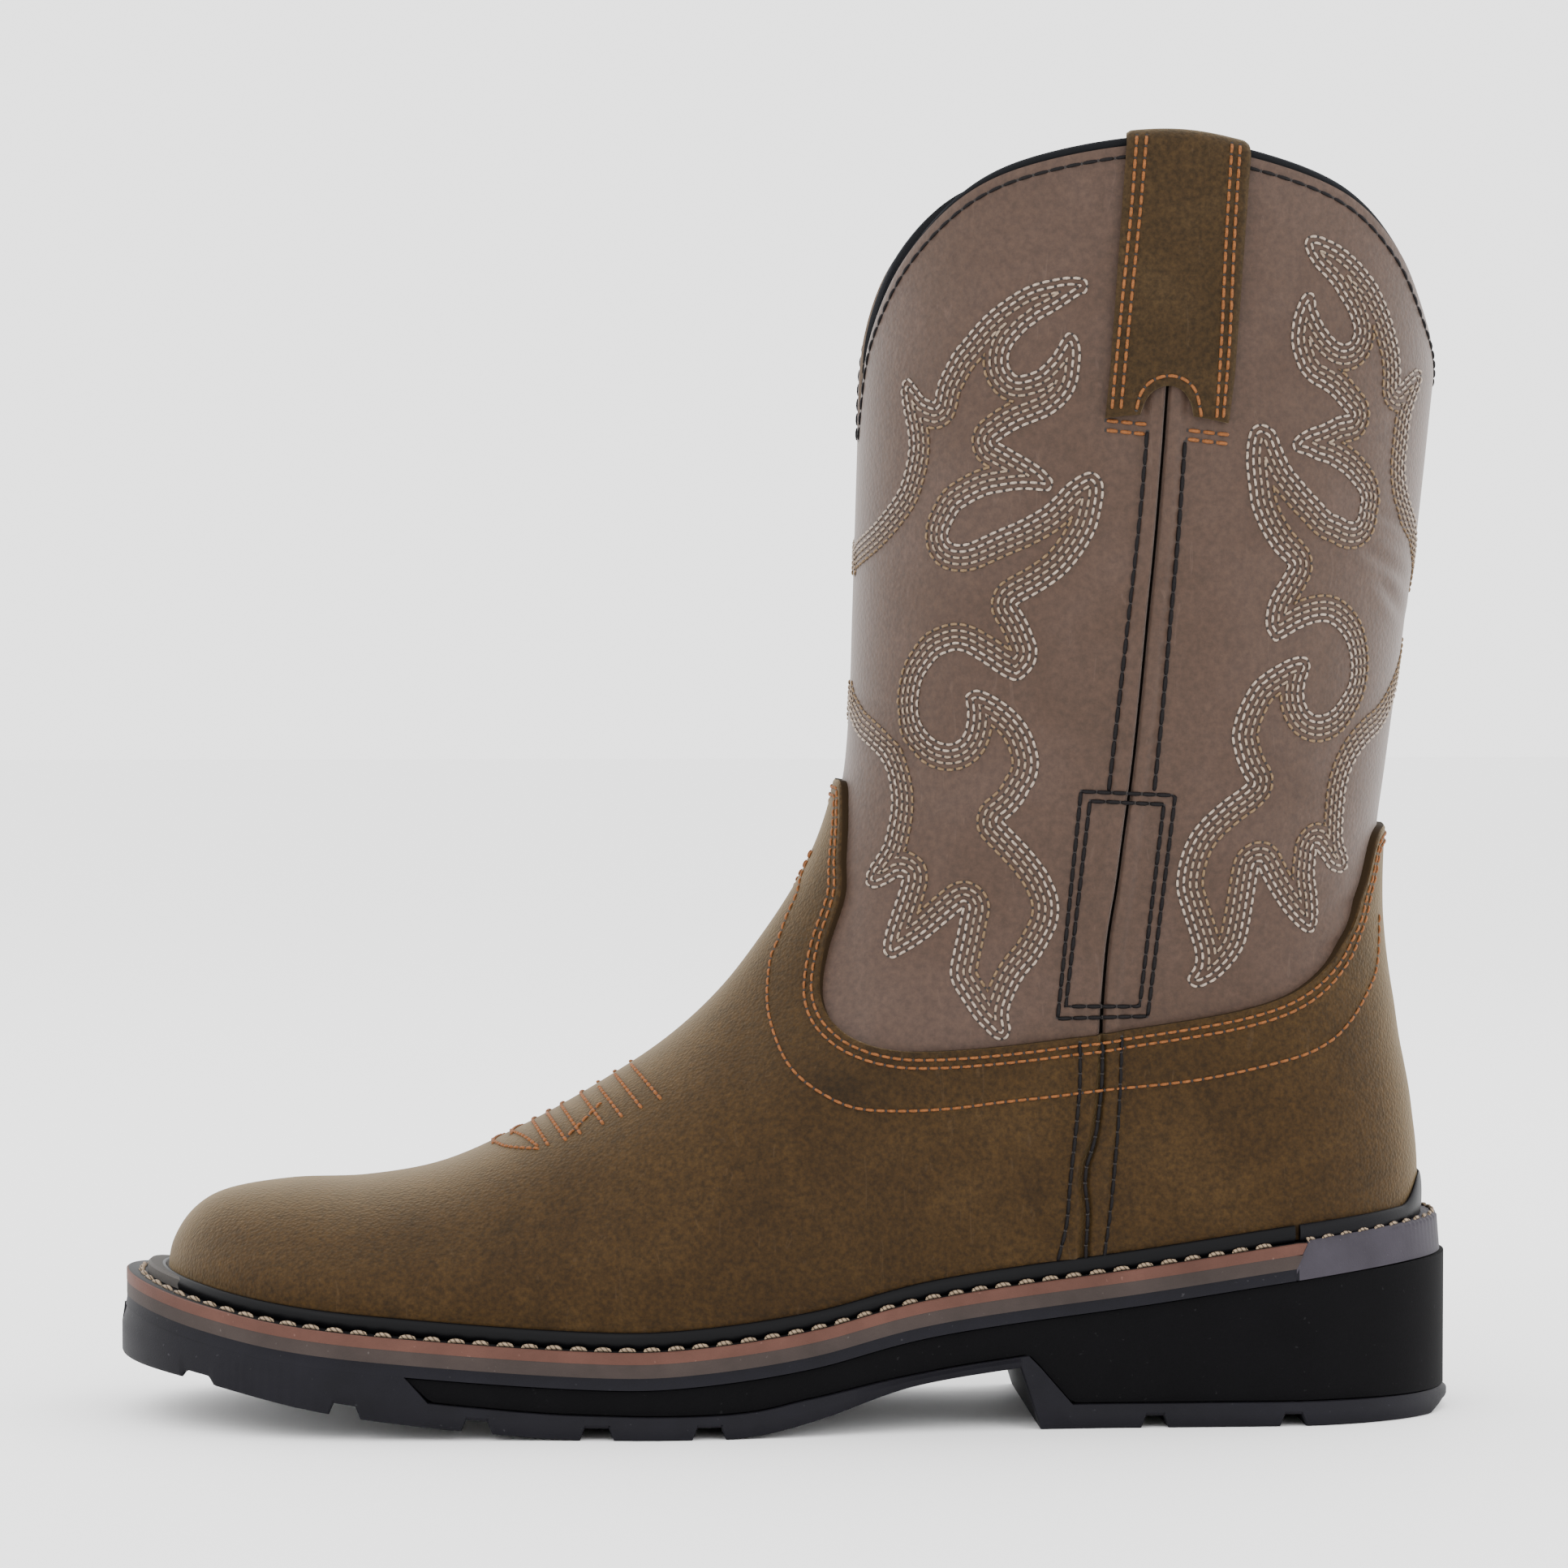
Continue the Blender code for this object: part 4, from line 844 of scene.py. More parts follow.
half_columns = np.concatenate([
    np.linspace(0, 1 - SEAM_HALF, 60, endpoint=False),
    1 + SEAM_HALF * np.sign(np.linspace(-1, 1, 37)) * np.abs(np.linspace(-1, 1, 37)) ** 1.5,
    np.linspace(1 + SEAM_HALF, 2, 60)[1:]])
round_columns = np.concatenate([half_columns, -half_columns[1:-1][::-1]])


def shaft_shell(groove):
    """Rings of the shaft's outer face, from behind the overlays up to the collar."""
    low = np.linspace(HIDDEN_RING, ANKLE_SHARE, 60, endpoint=False)
    shell = []
    for ring in np.concatenate([low, np.linspace(ANKLE_SHARE, 1, 110)]):
        angle = column_angle(round_columns, ring)
        point = form_point(angle, ring)
        lift = seam_lift(round_columns, groove) * np.clip((1.002 - ring) / 0.004, 0.55, 1)
        lift = lift + crease_lift(point) - COLLAR_ROUND * (ring == 1)
        shell.append(point + form_normal(angle, min(ring, 0.995)) * lift[:, None])
    shell[-2] = shell[-2] * 0.5 + shell[-1] * 0.5
    return shell


rings = shaft_shell(SEAM_GROOVE)
collar_angle = column_angle(round_columns, 1.0)
rings.append(form_point(collar_angle, 1.0) - form_normal(collar_angle, 0.995) * COLLAR_EDGE)
rings.append(rings[-1] - np.array([0, 0, COLLAR_TURN_IN]))
rows = len(rings)
columns = len(round_columns)


def leather(name, colour, brown, grey, rough, grain, grain_height, sheen, sheen_tint, clouds,
            gloss, nap, smut):
    """Leather: mottled colour, rubbed paler patches, fine scratches and a pebbled grain."""
    made, nodes, links, surface = shader(name, colour, rough)
    surface.inputs["Sheen Weight"].default_value = sheen
    surface.inputs["Sheen Roughness"].default_value = 0.45
    surface.inputs["Sheen Tint"].default_value = (*sheen_tint, 1)
    surface.inputs["Specular IOR Level"].default_value = gloss
    cloud = add_noise(nodes, links, clouds, 5.0, 0.62, distortion=0.6)
    tone = add_ramp(nodes, links, cloud, ((0.28, brown), (0.50, colour), (0.74, grey)))
    fine = add_noise(nodes, links, grain * 0.7, 3.0, 0.7)
    speck = add_ramp(nodes, links, fine, ((0.34, (1 - nap,) * 3), (0.52, (1, 1, 1)),
                                          (0.70, (1 + nap,) * 3)))
    body = add_mix(nodes, links, "MULTIPLY", 1.0, tone, speck)
    stain = add_noise(nodes, links, clouds * 1.7, 3.0, 0.6, distortion=0.3)
    smudge = add_ramp(nodes, links, stain, ((0.58, (1, 1, 1)), (0.74, (1 - smut,) * 3)))
    body = add_mix(nodes, links, "MULTIPLY", 1.0, body, smudge)
    scratch = add_noise(nodes, links, 230.0, 2.0, 0.5, ((1, 1, 0.16), (0.9, 0.6, 0.5)), 2.0)
    marks = add_ramp(nodes, links, scratch, ((0.68, (0, 0, 0)), (0.71, (0.14, 0.14, 0.14)),
                                             (0.74, (0, 0, 0))))
    pale = tuple(min(c * 1.9 + 0.02, 1.0) for c in grey)
    skin = add_mix(nodes, links, "MIX", marks, body, pale)
    links.new(skin, surface.inputs["Base Color"])
    place = nodes.new("ShaderNodeTexCoord")
    cells = nodes.new("ShaderNodeTexVoronoi")
    cells.inputs["Scale"].default_value = grain
    links.new(place.outputs["Object"], cells.inputs["Vector"])
    pores = add_noise(nodes, links, grain * 1.7, 3.0, 0.6)
    first = add_bump(nodes, links, surface, cells.outputs["Distance"], 0.5, grain_height)
    add_bump(nodes, links, surface, pores, 0.35, grain_height, first)
    return made


shaft_leather = leather(
    "shaft_leather", colour=(0.043, 0.0235, 0.0150), brown=(0.036, 0.0185, 0.0108),
    grey=(0.050, 0.0290, 0.0205), rough=0.56, grain=900.0, grain_height=0.00012, sheen=0.26,
    sheen_tint=(0.85, 0.78, 0.74), clouds=26.0, gloss=0.20, nap=0.22, smut=0.12)
cut_edge = shader("cut_edge", EDGE_BROWN, 0.8)[0]
groove_painted_shade = shader("groove_painted_shade", GROOVE_SHADE_BROWN, 0.9, Specular_IOR_Level=0.05)[0]
# The top rows take the cut edge. Faces next to the seam's middle take a near-black painted shade
# for the depth of its groove.
edge_faces = [1 if k // columns >= rows - 3 else 0 for k in range((rows - 1) * columns)]
for k in range((rows - 3) * columns):
    nearby = np.abs(np.abs(round_columns[[k % columns, (k + 1) % columns]]) - 1)
    if nearby.max() < GROOVE_SHADE_HALF:
        edge_faces[k] = 2
add_piece("shaft", np.vstack(rings), grid_faces(rows, columns, True),
          [shaft_leather, cut_edge, groove_painted_shade], ["upper"], 60, edge_faces)


# Lining
# A black woven lining glued inside the shaft. It is turned up at the collar and stands a
# little proud of the leather at both sides, where it shows as a soft black edge.
LINING_PROUD = 0.0019
LINING_THICKNESS = 0.0010
LINING_BLACK = (0.0012, 0.0014, 0.0020)
# Rings over the turned edge: distance inward, then share of the height it stands proud, or
# metres below the edge where it is negative
LINING_TURN = (
    (0.00005, -0.004), (0.00005, -0.0004), (-0.0003, 0.25), (-0.0002, 0.75),
    (LINING_THICKNESS * 0.5, 1.0), (LINING_THICKNESS * 0.95, 0.7), (LINING_THICKNESS, 0.0),
)

lining_cloth, nodes, links, surface = shader("lining_cloth", LINING_BLACK, 0.62)
surface.inputs["Sheen Weight"].default_value = 0.04
surface.inputs["Sheen Tint"].default_value = (0.45, 0.55, 0.85, 1)
surface.inputs["Specular IOR Level"].default_value = 0.10
weave = add_noise(nodes, links, 1500.0, 2.0, 0.5)
add_bump(nodes, links, surface, weave, 0.4, 0.0002)
lining_columns = np.concatenate([np.linspace(0, 2, 150), -np.linspace(0, 2, 150)[1:-1][::-1]])
lining_angle = column_angle(lining_columns, 1.0)
proud = LINING_PROUD * ease((np.sin(np.abs(lining_angle)) - 0.1) / 0.8)
lining_rings = []
top = form_point(lining_angle, 1.0)
top_normal = form_normal(lining_angle, 0.995)
for inward, up in LINING_TURN:
    height = proud * up if up > 0 else np.full_like(proud, up)
    lining_rings.append(top - top_normal * (COLLAR_EDGE + inward) + np.outer(height, (0, 0, 1)))
for ring in np.linspace(0.99, 0.02, 70):
    angle = column_angle(lining_columns, ring)
    lift = COLLAR_EDGE + LINING_THICKNESS
    lining_rings.append(form_point(angle, ring) - form_normal(angle, ring) * lift)
lining_faces = grid_faces(len(lining_rings), len(lining_columns), True)
add_piece("lining", np.vstack(lining_rings), lining_faces, [lining_cloth],
          ["upper"], 60)


# Insole
# A padded board covered with grey cloth. It lies loose on the welt inside the boot, a little
# in from the wall all round.
INSOLE_RISE = 0.0030
INSOLE_INSET = 0.0125
INSOLE_ROUND = 0.0006
INSOLE_GREY = (0.045, 0.040, 0.036)

insole_cloth, nodes, links, surface = shader("insole_cloth", INSOLE_GREY, 0.9)
add_bump(nodes, links, surface, add_noise(nodes, links, 1200.0, 2.0, 0.5), 0.5, 0.0002)
layer("insole_board", stations(160), [
    (INSOLE_INSET, 0.0, lambda a: welt_top(a) + GAP),
    (INSOLE_INSET, 0.0, lambda a: welt_top(a) + INSOLE_RISE - 0.0005),
    (INSOLE_INSET, -INSOLE_ROUND, lambda a: welt_top(a) + INSOLE_RISE),
], [insole_cloth], ["insole"])


# Vamp and counter
# Olive-brown oiled nubuck, cut as a vamp with a tongue up the front and a counter with a
# pointed tip at the back. Both lie over the shaft's leather and keep a dark raw edge.
FOOT_LEATHER = 0.0018
EDGE_RAMP = 0.0004
RAW_EDGE = (0.020, 0.0115, 0.0050)
# Cut edge of the overlays: turn from the front in degrees, then ring share
VAMP_LINE = ((0.0, 0.770), (9.0, 0.768), (15.0, 0.740), (23.0, 0.695), (30.0, 0.660),
             (35.0, 0.612), (42.0, 0.566), (52.0, 0.529), (64.0, 0.504), (80.0, 0.495),
             (104.0, 0.496), (126.0, 0.500), (138.0, 0.522), (148.0, 0.577), (156.0, 0.655),
             (163.0, 0.712), (180.0, 0.722))
VAMP_CURVE = smooth_line(VAMP_LINE)


def foot_ring(column, share):
    """The ring at a share of the way from the welt to the cut edge, for each column."""
    column, share = np.broadcast_arrays(np.asarray(column, float), np.asarray(share, float))
    ring = share * 0.5
    for step in range(16):
        angle = np.abs(column_angle(column, ring))
        ring = share * np.interp(np.degrees(angle), VAMP_CURVE[:, 0], VAMP_CURVE[:, 1])
    return ring


def foot_shell(columns, groove):
    """Rings of one overlay, from the seat on the welt up to its raw edge and down to the
    shaft. Columns over 2 lie on the outer side again."""
    shares = np.concatenate([np.linspace(0, 0.9, 90, endpoint=False), np.linspace(0.9, 0.996, 16)])
    signed = np.where(columns > 2, columns - 4, columns)
    cut = GAP + FOOT_LEATHER
    fold = seam_lift(signed, groove)
    shell = []
    for share in shares:
        ring = foot_ring(signed, share)
        angle = column_angle(signed, ring)
        point = form_point(angle, ring)
        shell.append(point + form_normal(angle, ring) * (cut + fold + crease_lift(point))[:, None])
    ring = foot_ring(signed, 1.0)
    angle = column_angle(signed, ring)
    for lift in (cut - EDGE_RAMP, cut * 0.6, -0.0002):
        shell.append(form_point(angle, ring) + form_normal(angle, ring) * (lift + fold)[:, None])
    return shell


def foot_leather(name, columns, replaced):
    rings = foot_shell(columns, SEAM_GROOVE)
    faces = grid_faces(len(rings), len(columns), False)
    wall = (len(rings) - 3) * (len(columns) - 1)
    indices = [1 if k >= wall else 0 for k in range(len(faces))]
    return add_piece(name, np.vstack(rings), faces, [nubuck, raw_edge], replaced,
                     60, indices)


nubuck = leather(
    "nubuck", colour=(0.0250, 0.0125, 0.0030), brown=(0.0190, 0.0092, 0.0021),
    grey=(0.0330, 0.0175, 0.0050), rough=0.66, grain=1150.0, grain_height=0.00022, sheen=0.32,
    sheen_tint=(0.66, 0.50, 0.28), clouds=34.0, gloss=0.10, nap=0.42, smut=0.38)
raw_edge = shader("raw_edge", RAW_EDGE, 0.85, Specular_IOR_Level=0.1)[0]
fore_half = np.concatenate([np.linspace(0, 1 - SEAM_HALF, 90, endpoint=False),
                            1 - SEAM_HALF * np.linspace(1, 0, 24) ** 1.5])
back_half = np.concatenate([1 + SEAM_HALF * np.linspace(0, 1, 24) ** 1.5,
                            np.linspace(1 + SEAM_HALF, 2, 70)[1:]])
vamp_columns = np.concatenate([-fore_half[:0:-1], fore_half])
counter_columns = np.concatenate([back_half, 4 - back_half[:-1][::-1]])
foot_leather("vamp_leather", vamp_columns, ["vamp"])
foot_leather("counter_leather", counter_columns, ["counter"])


# Rands
# A glossy black rubber bead runs round the forefoot on the welt. A separate matt one goes
# round the heel and rises at the back into the ledge that keeps a spur in place.
RAND_WIDTH = 0.0022
RAND_SEAT = 0.0019
RAND_HEIGHT = 0.0038
SPUR_HEIGHT = 0.0060
SPUR_WIDTH = 0.042
RAND_SLIT = 0.0060
RAND_COUNT = 420
RAND_BLACK = (0.0012, 0.0012, 0.0017)
HEEL_RAND_BLACK = (0.0024, 0.0023, 0.0032)


def rand_ring(angle):
    """Base, outward way and extra height of the rand at an angle."""
    base = form_point(angle, 0.0)
    out = form_normal(angle, 0.0)
    behind = base[..., 0] > joint_x
    spur = SPUR_HEIGHT * ease((SPUR_WIDTH / 2 - np.abs(base[..., 1])) / (SPUR_WIDTH / 3.5)) * behind
    return base, out, spur


def rand(name, angles, material, replaced):
    base, out, spur = rand_ring(angles)
    profile = []
    for turn in np.radians(np.linspace(-55, 205, 23)):
        profile.append((0.5 + 0.5 * math.cos(turn), 0.45 + 0.55 * math.sin(turn)))
    strips = []
    for across, high in profile:
        ledge = np.clip(spur / SPUR_HEIGHT, 0, 1)
        wide = RAND_WIDTH * (1 - 0.30 * ledge)
        climb = form_point(angles, np.clip(high, 0, 1) * 0.03) - base
        point = base + (RAND_SEAT + wide * across)[:, None] * out
        point[:, 2] += np.maximum(high, 0) * (RAND_HEIGHT + spur) - 0.0002
        point[:, :2] += climb[:, :2] * ledge[:, None] * 0.6
        strips.append(point)
    count = len(angles)
    faces = grid_faces(len(strips), count, False)
    faces.append([k * count for k in range(len(strips))])
    faces.append([k * count + count - 1 for k in range(len(strips))][::-1])
    return add_piece(name, np.vstack(strips), faces, [material], replaced, 50)


gloss_rand, nodes, links, surface = shader("gloss_rand", RAND_BLACK, 0.42,
                                           Specular_IOR_Level=0.10)
add_bump(nodes, links, surface, add_noise(nodes, links, 700.0, 2.0, 0.5), 0.15, 0.0001)
matt_rand = rubber("matt_rand", HEEL_RAND_BLACK, 0.5, 0.2)
search = np.linspace(0.3, math.pi, 2000)
split_inner = search[np.searchsorted(form_point(search, 0.0)[:, 0], joint_x)]
split_outer = search[np.searchsorted(form_point(-search, 0.0)[:, 0], joint_x)]
fore_angles = np.linspace(RAND_SLIT - split_outer, split_inner - RAND_SLIT, RAND_COUNT)
rand("rand_bead", fore_angles, gloss_rand, ["rand"])
heel_angles = np.linspace(split_inner + RAND_SLIT, 2 * math.pi - split_outer - RAND_SLIT, 220)
heel_angles = np.where(heel_angles > math.pi, heel_angles - 2 * math.pi, heel_angles)
rand("rand_heel", heel_angles, matt_rand, ["heel_rand"])


# Pull straps
# Two short nubuck straps, folded over the collar's side peaks and stitched down on both
# faces, with an arched gap between the feet of each leg.
STRAP_WIDTH = 0.0285
STRAP_LENGTH = 0.0618
STRAP_THICKNESS = 0.0018
STRAP_ARCH = 0.0065
STRAP_ARCH_SHARE = 0.42
STRAP_LEAN = 0.05
STRAP_CLEARANCE = 0.0004
STRAP_EDGE_ROUND = 0.0005
INNER_LEG_LEAN = 0.0175
strap_rings = np.linspace(ANKLE_SHARE, 1, 60)


def strap_sheet(side, u, t, lift):
    """A point on a strap's outer leg: u across, t from the foot (0) to the collar (1)."""
    turn = math.pi / 2 + STRAP_LEAN * t + u * STRAP_WIDTH / SHAFT_DEPTH
    heights = np.stack([form_point(side * turn, ring)[..., 2] for ring in strap_rings])
    arch = STRAP_ARCH * np.sqrt(np.clip(1 - (u / STRAP_ARCH_SHARE) ** 2, 0, 1))
    foot = heights[-1] - STRAP_LENGTH + arch
    goal = foot + (heights[-1] - foot) * t
    ring = np.array([np.interp(g, heights[:, k], strap_rings)
                     for k, g in enumerate(goal.ravel())]).reshape(goal.shape)
    angle = side * turn
    return form_point(angle, ring) + form_normal(angle, np.minimum(ring, 0.99)) * lift


def strap(name, side, replaced):
    across = np.sign(np.linspace(-1, 1, 61)) * np.abs(np.linspace(-1, 1, 61)) ** 0.9
    edge_round = np.interp(np.abs(across), (0, 0.93, 1), (0, 0, -STRAP_EDGE_ROUND))
    leg = GAP + STRAP_CLEARANCE + STRAP_THICKNESS
    strips = [strap_sheet(side, across, np.zeros_like(across), -0.0002)]
    for t in np.concatenate([[0.0, 0.012], np.linspace(0.03, 1, 60)]):
        lift = leg - (STRAP_EDGE_ROUND if t == 0 else 0.0)
        sheet = strap_sheet(side, across, np.full_like(across, t), lift)
        angle = side * (math.pi / 2 + STRAP_LEAN * t + across * STRAP_WIDTH / SHAFT_DEPTH)
        sheet = sheet + form_normal(angle, 0.95) * edge_round[:, None]
        strips.append(sheet)
    angle = side * (math.pi / 2 + STRAP_LEAN + across * STRAP_WIDTH / SHAFT_DEPTH)
    top = form_point(angle, 1.0)
    out = form_normal(angle, 0.99)
    centre = top - out * (WALL / 2)
    radius = WALL / 2 + leg
    for turn in np.linspace(0, math.pi, 15)[1:]:
        span = (radius + edge_round)[:, None]
        strips.append(centre + out * math.cos(turn) * span
                      + np.array([0, 0, 1.0]) * math.sin(turn) * span)
    for fall in np.linspace(0.002, STRAP_LENGTH - 0.004, 24):
        shift = np.array([0, 0, -fall])
        base = centre - out * (radius + edge_round)[:, None] + shift
        base[:, 1] -= side * INNER_LEG_LEAN * fall
        strips.append(base)
    return add_piece(name, np.vstack(strips), grid_faces(len(strips), len(across), False),
                     [strap_nubuck], replaced, 60)


strap_nubuck = leather(
    "strap_nubuck", colour=(0.0250, 0.0138, 0.0046), brown=(0.0195, 0.0104, 0.0030),
    grey=(0.0310, 0.0182, 0.0070), rough=0.68, grain=1150.0, grain_height=0.00016, sheen=0.26,
    sheen_tint=(0.62, 0.50, 0.30), clouds=40.0, gloss=0.10, nap=0.42, smut=0.25)
strap_outer = strap("strap_outer", -1, ["pull_strap_outer"])
strap_inner = strap("strap_inner", 1, ["pull_strap_inner"])


# Flame pattern
# The shaft's traditional stitched pattern: five rows of bonded thread, cream to tan, before the
# seam and behind it. Each stitch is a raised grain that sinks into a needle hole, drawn as a dark
# disc of painted shade. The rows follow pixel places of the photo along the camera's view, and the
# far side mirrors the near one.
PHOTO_CENTRE = PHOTO_SIZE / 2
THREAD_SIDES = 6
HOLE_SIDES = 5
HOLE_LENGTH = 0.00030
HOLE_LIFT = 0.00006
LONGEST_STITCH = 2.2
JOIN_REACH = 0.0016
JOIN_STEP = 0.0004
PATH_STEPS = 10
WALK_STEP = 0.0004
SHAFT_AXIS_X = -0.018
NEARLY_SIDEWAYS = 0.15
# Along one stitch: share of its length, thickness and rise
STITCH_SHARES = np.array((0.0, 0.10, 0.35, 0.65, 0.90, 1.0))
STITCH_SWELL = np.array((0.35, 0.85, 1.0, 1.0, 0.85, 0.35))
STITCH_RISE = np.array((-0.5, 0.35, 0.9, 0.9, 0.35, -0.5))
# Colour of the painted shade in the needle holes
HOLE_SHADE_BROWN = (0.012, 0.009, 0.008)
CREAM = (0.29, 0.235, 0.190)
TAN = (0.155, 0.102, 0.056)
ROW_GAP = 0.00146
FLAME_END_SLOPE = 0.8
FLAME_STITCH = (0.0024, 0.00032, 0.76, 0.00030)
FLAME_COLOURS = ("cream", "cream", "sand", "sand", "tan")


def thread_material(name, colour, plies=None):
    """Bonded thread with a fibre grain. A thick one shows its twisted plies with dark bands of
    painted shade between them, given by their turn and their scale."""
    made, nodes, links, surface = shader(name, colour, 0.6, Specular_IOR_Level=0.12)
    fibre = add_noise(nodes, links, 1800.0, 2.0, 0.5)
    dark = tuple(c * 0.72 for c in colour)
    light = tuple(min(c * 1.15, 1.0) for c in colour)
    skin = add_ramp(nodes, links, fibre, ((0.35, dark), (0.65, light)))
    if plies:
        place = nodes.new("ShaderNodeTexCoord")
        turn = nodes.new("ShaderNodeMapping")
        turn.inputs["Rotation"].default_value = (0, plies[0], 0)
        bands = nodes.new("ShaderNodeTexWave")
        bands.inputs["Scale"].default_value = plies[1]
        bands.inputs["Distortion"].default_value = 1.5
        links.new(place.outputs["Object"], turn.inputs["Vector"])
        links.new(turn.outputs["Vector"], bands.inputs["Vector"])
        # Dark bands of painted shade in the grooves between the plies
        gap = tuple(c * 0.22 for c in colour)
        ply_shade_lines = add_ramp(nodes, links, bands.outputs["Fac"], ((0.10, (1, 1, 1)), (0.35, (0, 0, 0))))
        skin = add_mix(nodes, links, "MIX", ply_shade_lines, skin, gap)
    links.new(skin, surface.inputs["Base Color"])
    add_bump(nodes, links, surface, fibre, 0.5, 0.0001)
    return made


threads = {
    "cream": thread_material("cream_thread", CREAM),
    "sand": thread_material("sand_thread", tuple((a + b) / 2 for a, b in zip(CREAM, TAN))),
    "tan": thread_material("tan_thread", TAN),
}
# Dark material for the painted shade in the needle holes
needle_hole_shade = shader("needle_hole_shade", HOLE_SHADE_BROWN, 0.9)[0]


def on_surface(tree, pixel):
    """The place on the pieces that the camera sees at a pixel of the photo."""
    way = (gaze + camera_right * ((pixel[0] - PHOTO_CENTRE) / FOCAL_PIXELS)
           - camera_up * ((pixel[1] - PHOTO_CENTRE) / FOCAL_PIXELS))
    way.normalize()
    place = tree.ray_cast(eye, way)[0]
    return place or tree.find_nearest(eye + way * CAMERA_DISTANCE)[0]


def dense_path(pixels, corners=()):
    """A smooth pixel path through the points, with sharp turns kept at the corners."""
    pixels = [np.array(p, float) for p in pixels]
    cuts = [0, *corners, len(pixels) - 1]
    out = []
    for a, b in zip(cuts[:-1], cuts[1:]):
        part = smooth_line(pixels[a:b + 1], PATH_STEPS if b - a > 3 else 6 * PATH_STEPS)
        out.extend(part if not out else part[1:])
    return np.array(out)


def lay(tree, pixels, mirror=False, far_tree=None):
    """Pixel path to places and outward normals on the near side, or mirrored on the far one."""
    places, normals = [], []
    for pixel in pixels:
        place = on_surface(tree, pixel)
        if mirror:
            flipped = Vector((place.x, -place.y, place.z))
            place, normal = (far_tree or tree).find_nearest(flipped)[:2]
        else:
            place, normal = tree.find_nearest(place)[:2]
        outward = Vector((0, 1 if mirror else -1, 0))
        if abs(normal.y) < NEARLY_SIDEWAYS:
            outward = Vector((place.x - SHAFT_AXIS_X, place.y, 0))
        if normal.dot(outward) < 0:
            normal = -normal
        places.append(place)
        normals.append(normal)
    return np.array(places), np.array(normals)


def walk(places, normals, pitch):
    """Even steps along a laid path."""
    gap = np.linalg.norm(np.diff(places, axis=0), axis=1)
    run = np.concatenate([[0], np.cumsum(gap)])
    count = max(int(run[-1] / pitch), 1)
    spots = np.arange(count + 1) * run[-1] / count
    at = lambda rows: np.stack([np.interp(spots, run, rows[:, k]) for k in range(3)], -1)
    return at(places), unit(at(normals))


def beside(places, normals, shift, tree, guard=0.965):
    """The path moved sideways on the surface. Sharp turns get a round join on their outer
    side, and the stretches that would fold over on the inner side are left out."""
    across = np.cross(normals, unit(np.gradient(places, axis=0))) * shift
    moved, turned = [places[0] + across[0]], [normals[0]]
    for k in range(1, len(places)):
        gap = np.linalg.norm(across[k] - across[k - 1])
        steps = max(int(gap / JOIN_STEP), 1)
        for share in np.arange(1, steps + 1) / steps:
            reach = unit(across[k - 1] * (1 - share) + across[k] * share) * abs(shift)
            moved.append(places[k - 1] * (1 - share) + places[k] * share + reach)
            turned.append(normals[k])
    flat = places[::2]
    runs = []
    for spot, normal in zip(moved, turned):
        if np.linalg.norm(flat - spot, axis=1).min() <= abs(shift) * guard:
            continue
        place, facing = tree.find_nearest(Vector(spot))[:2]
        place = np.array(place)
        facing = np.array(facing if facing.dot(Vector(normal)) > 0 else -facing)
        if runs and np.linalg.norm(place - runs[-1][-1][0]) < JOIN_REACH:
            runs[-1].append((place, facing))
        else:
            runs.append([(place, facing)])
    return [(np.array([a for a, b in run]), np.array([b for a, b in run]))
            for run in runs if len(run) > 5]


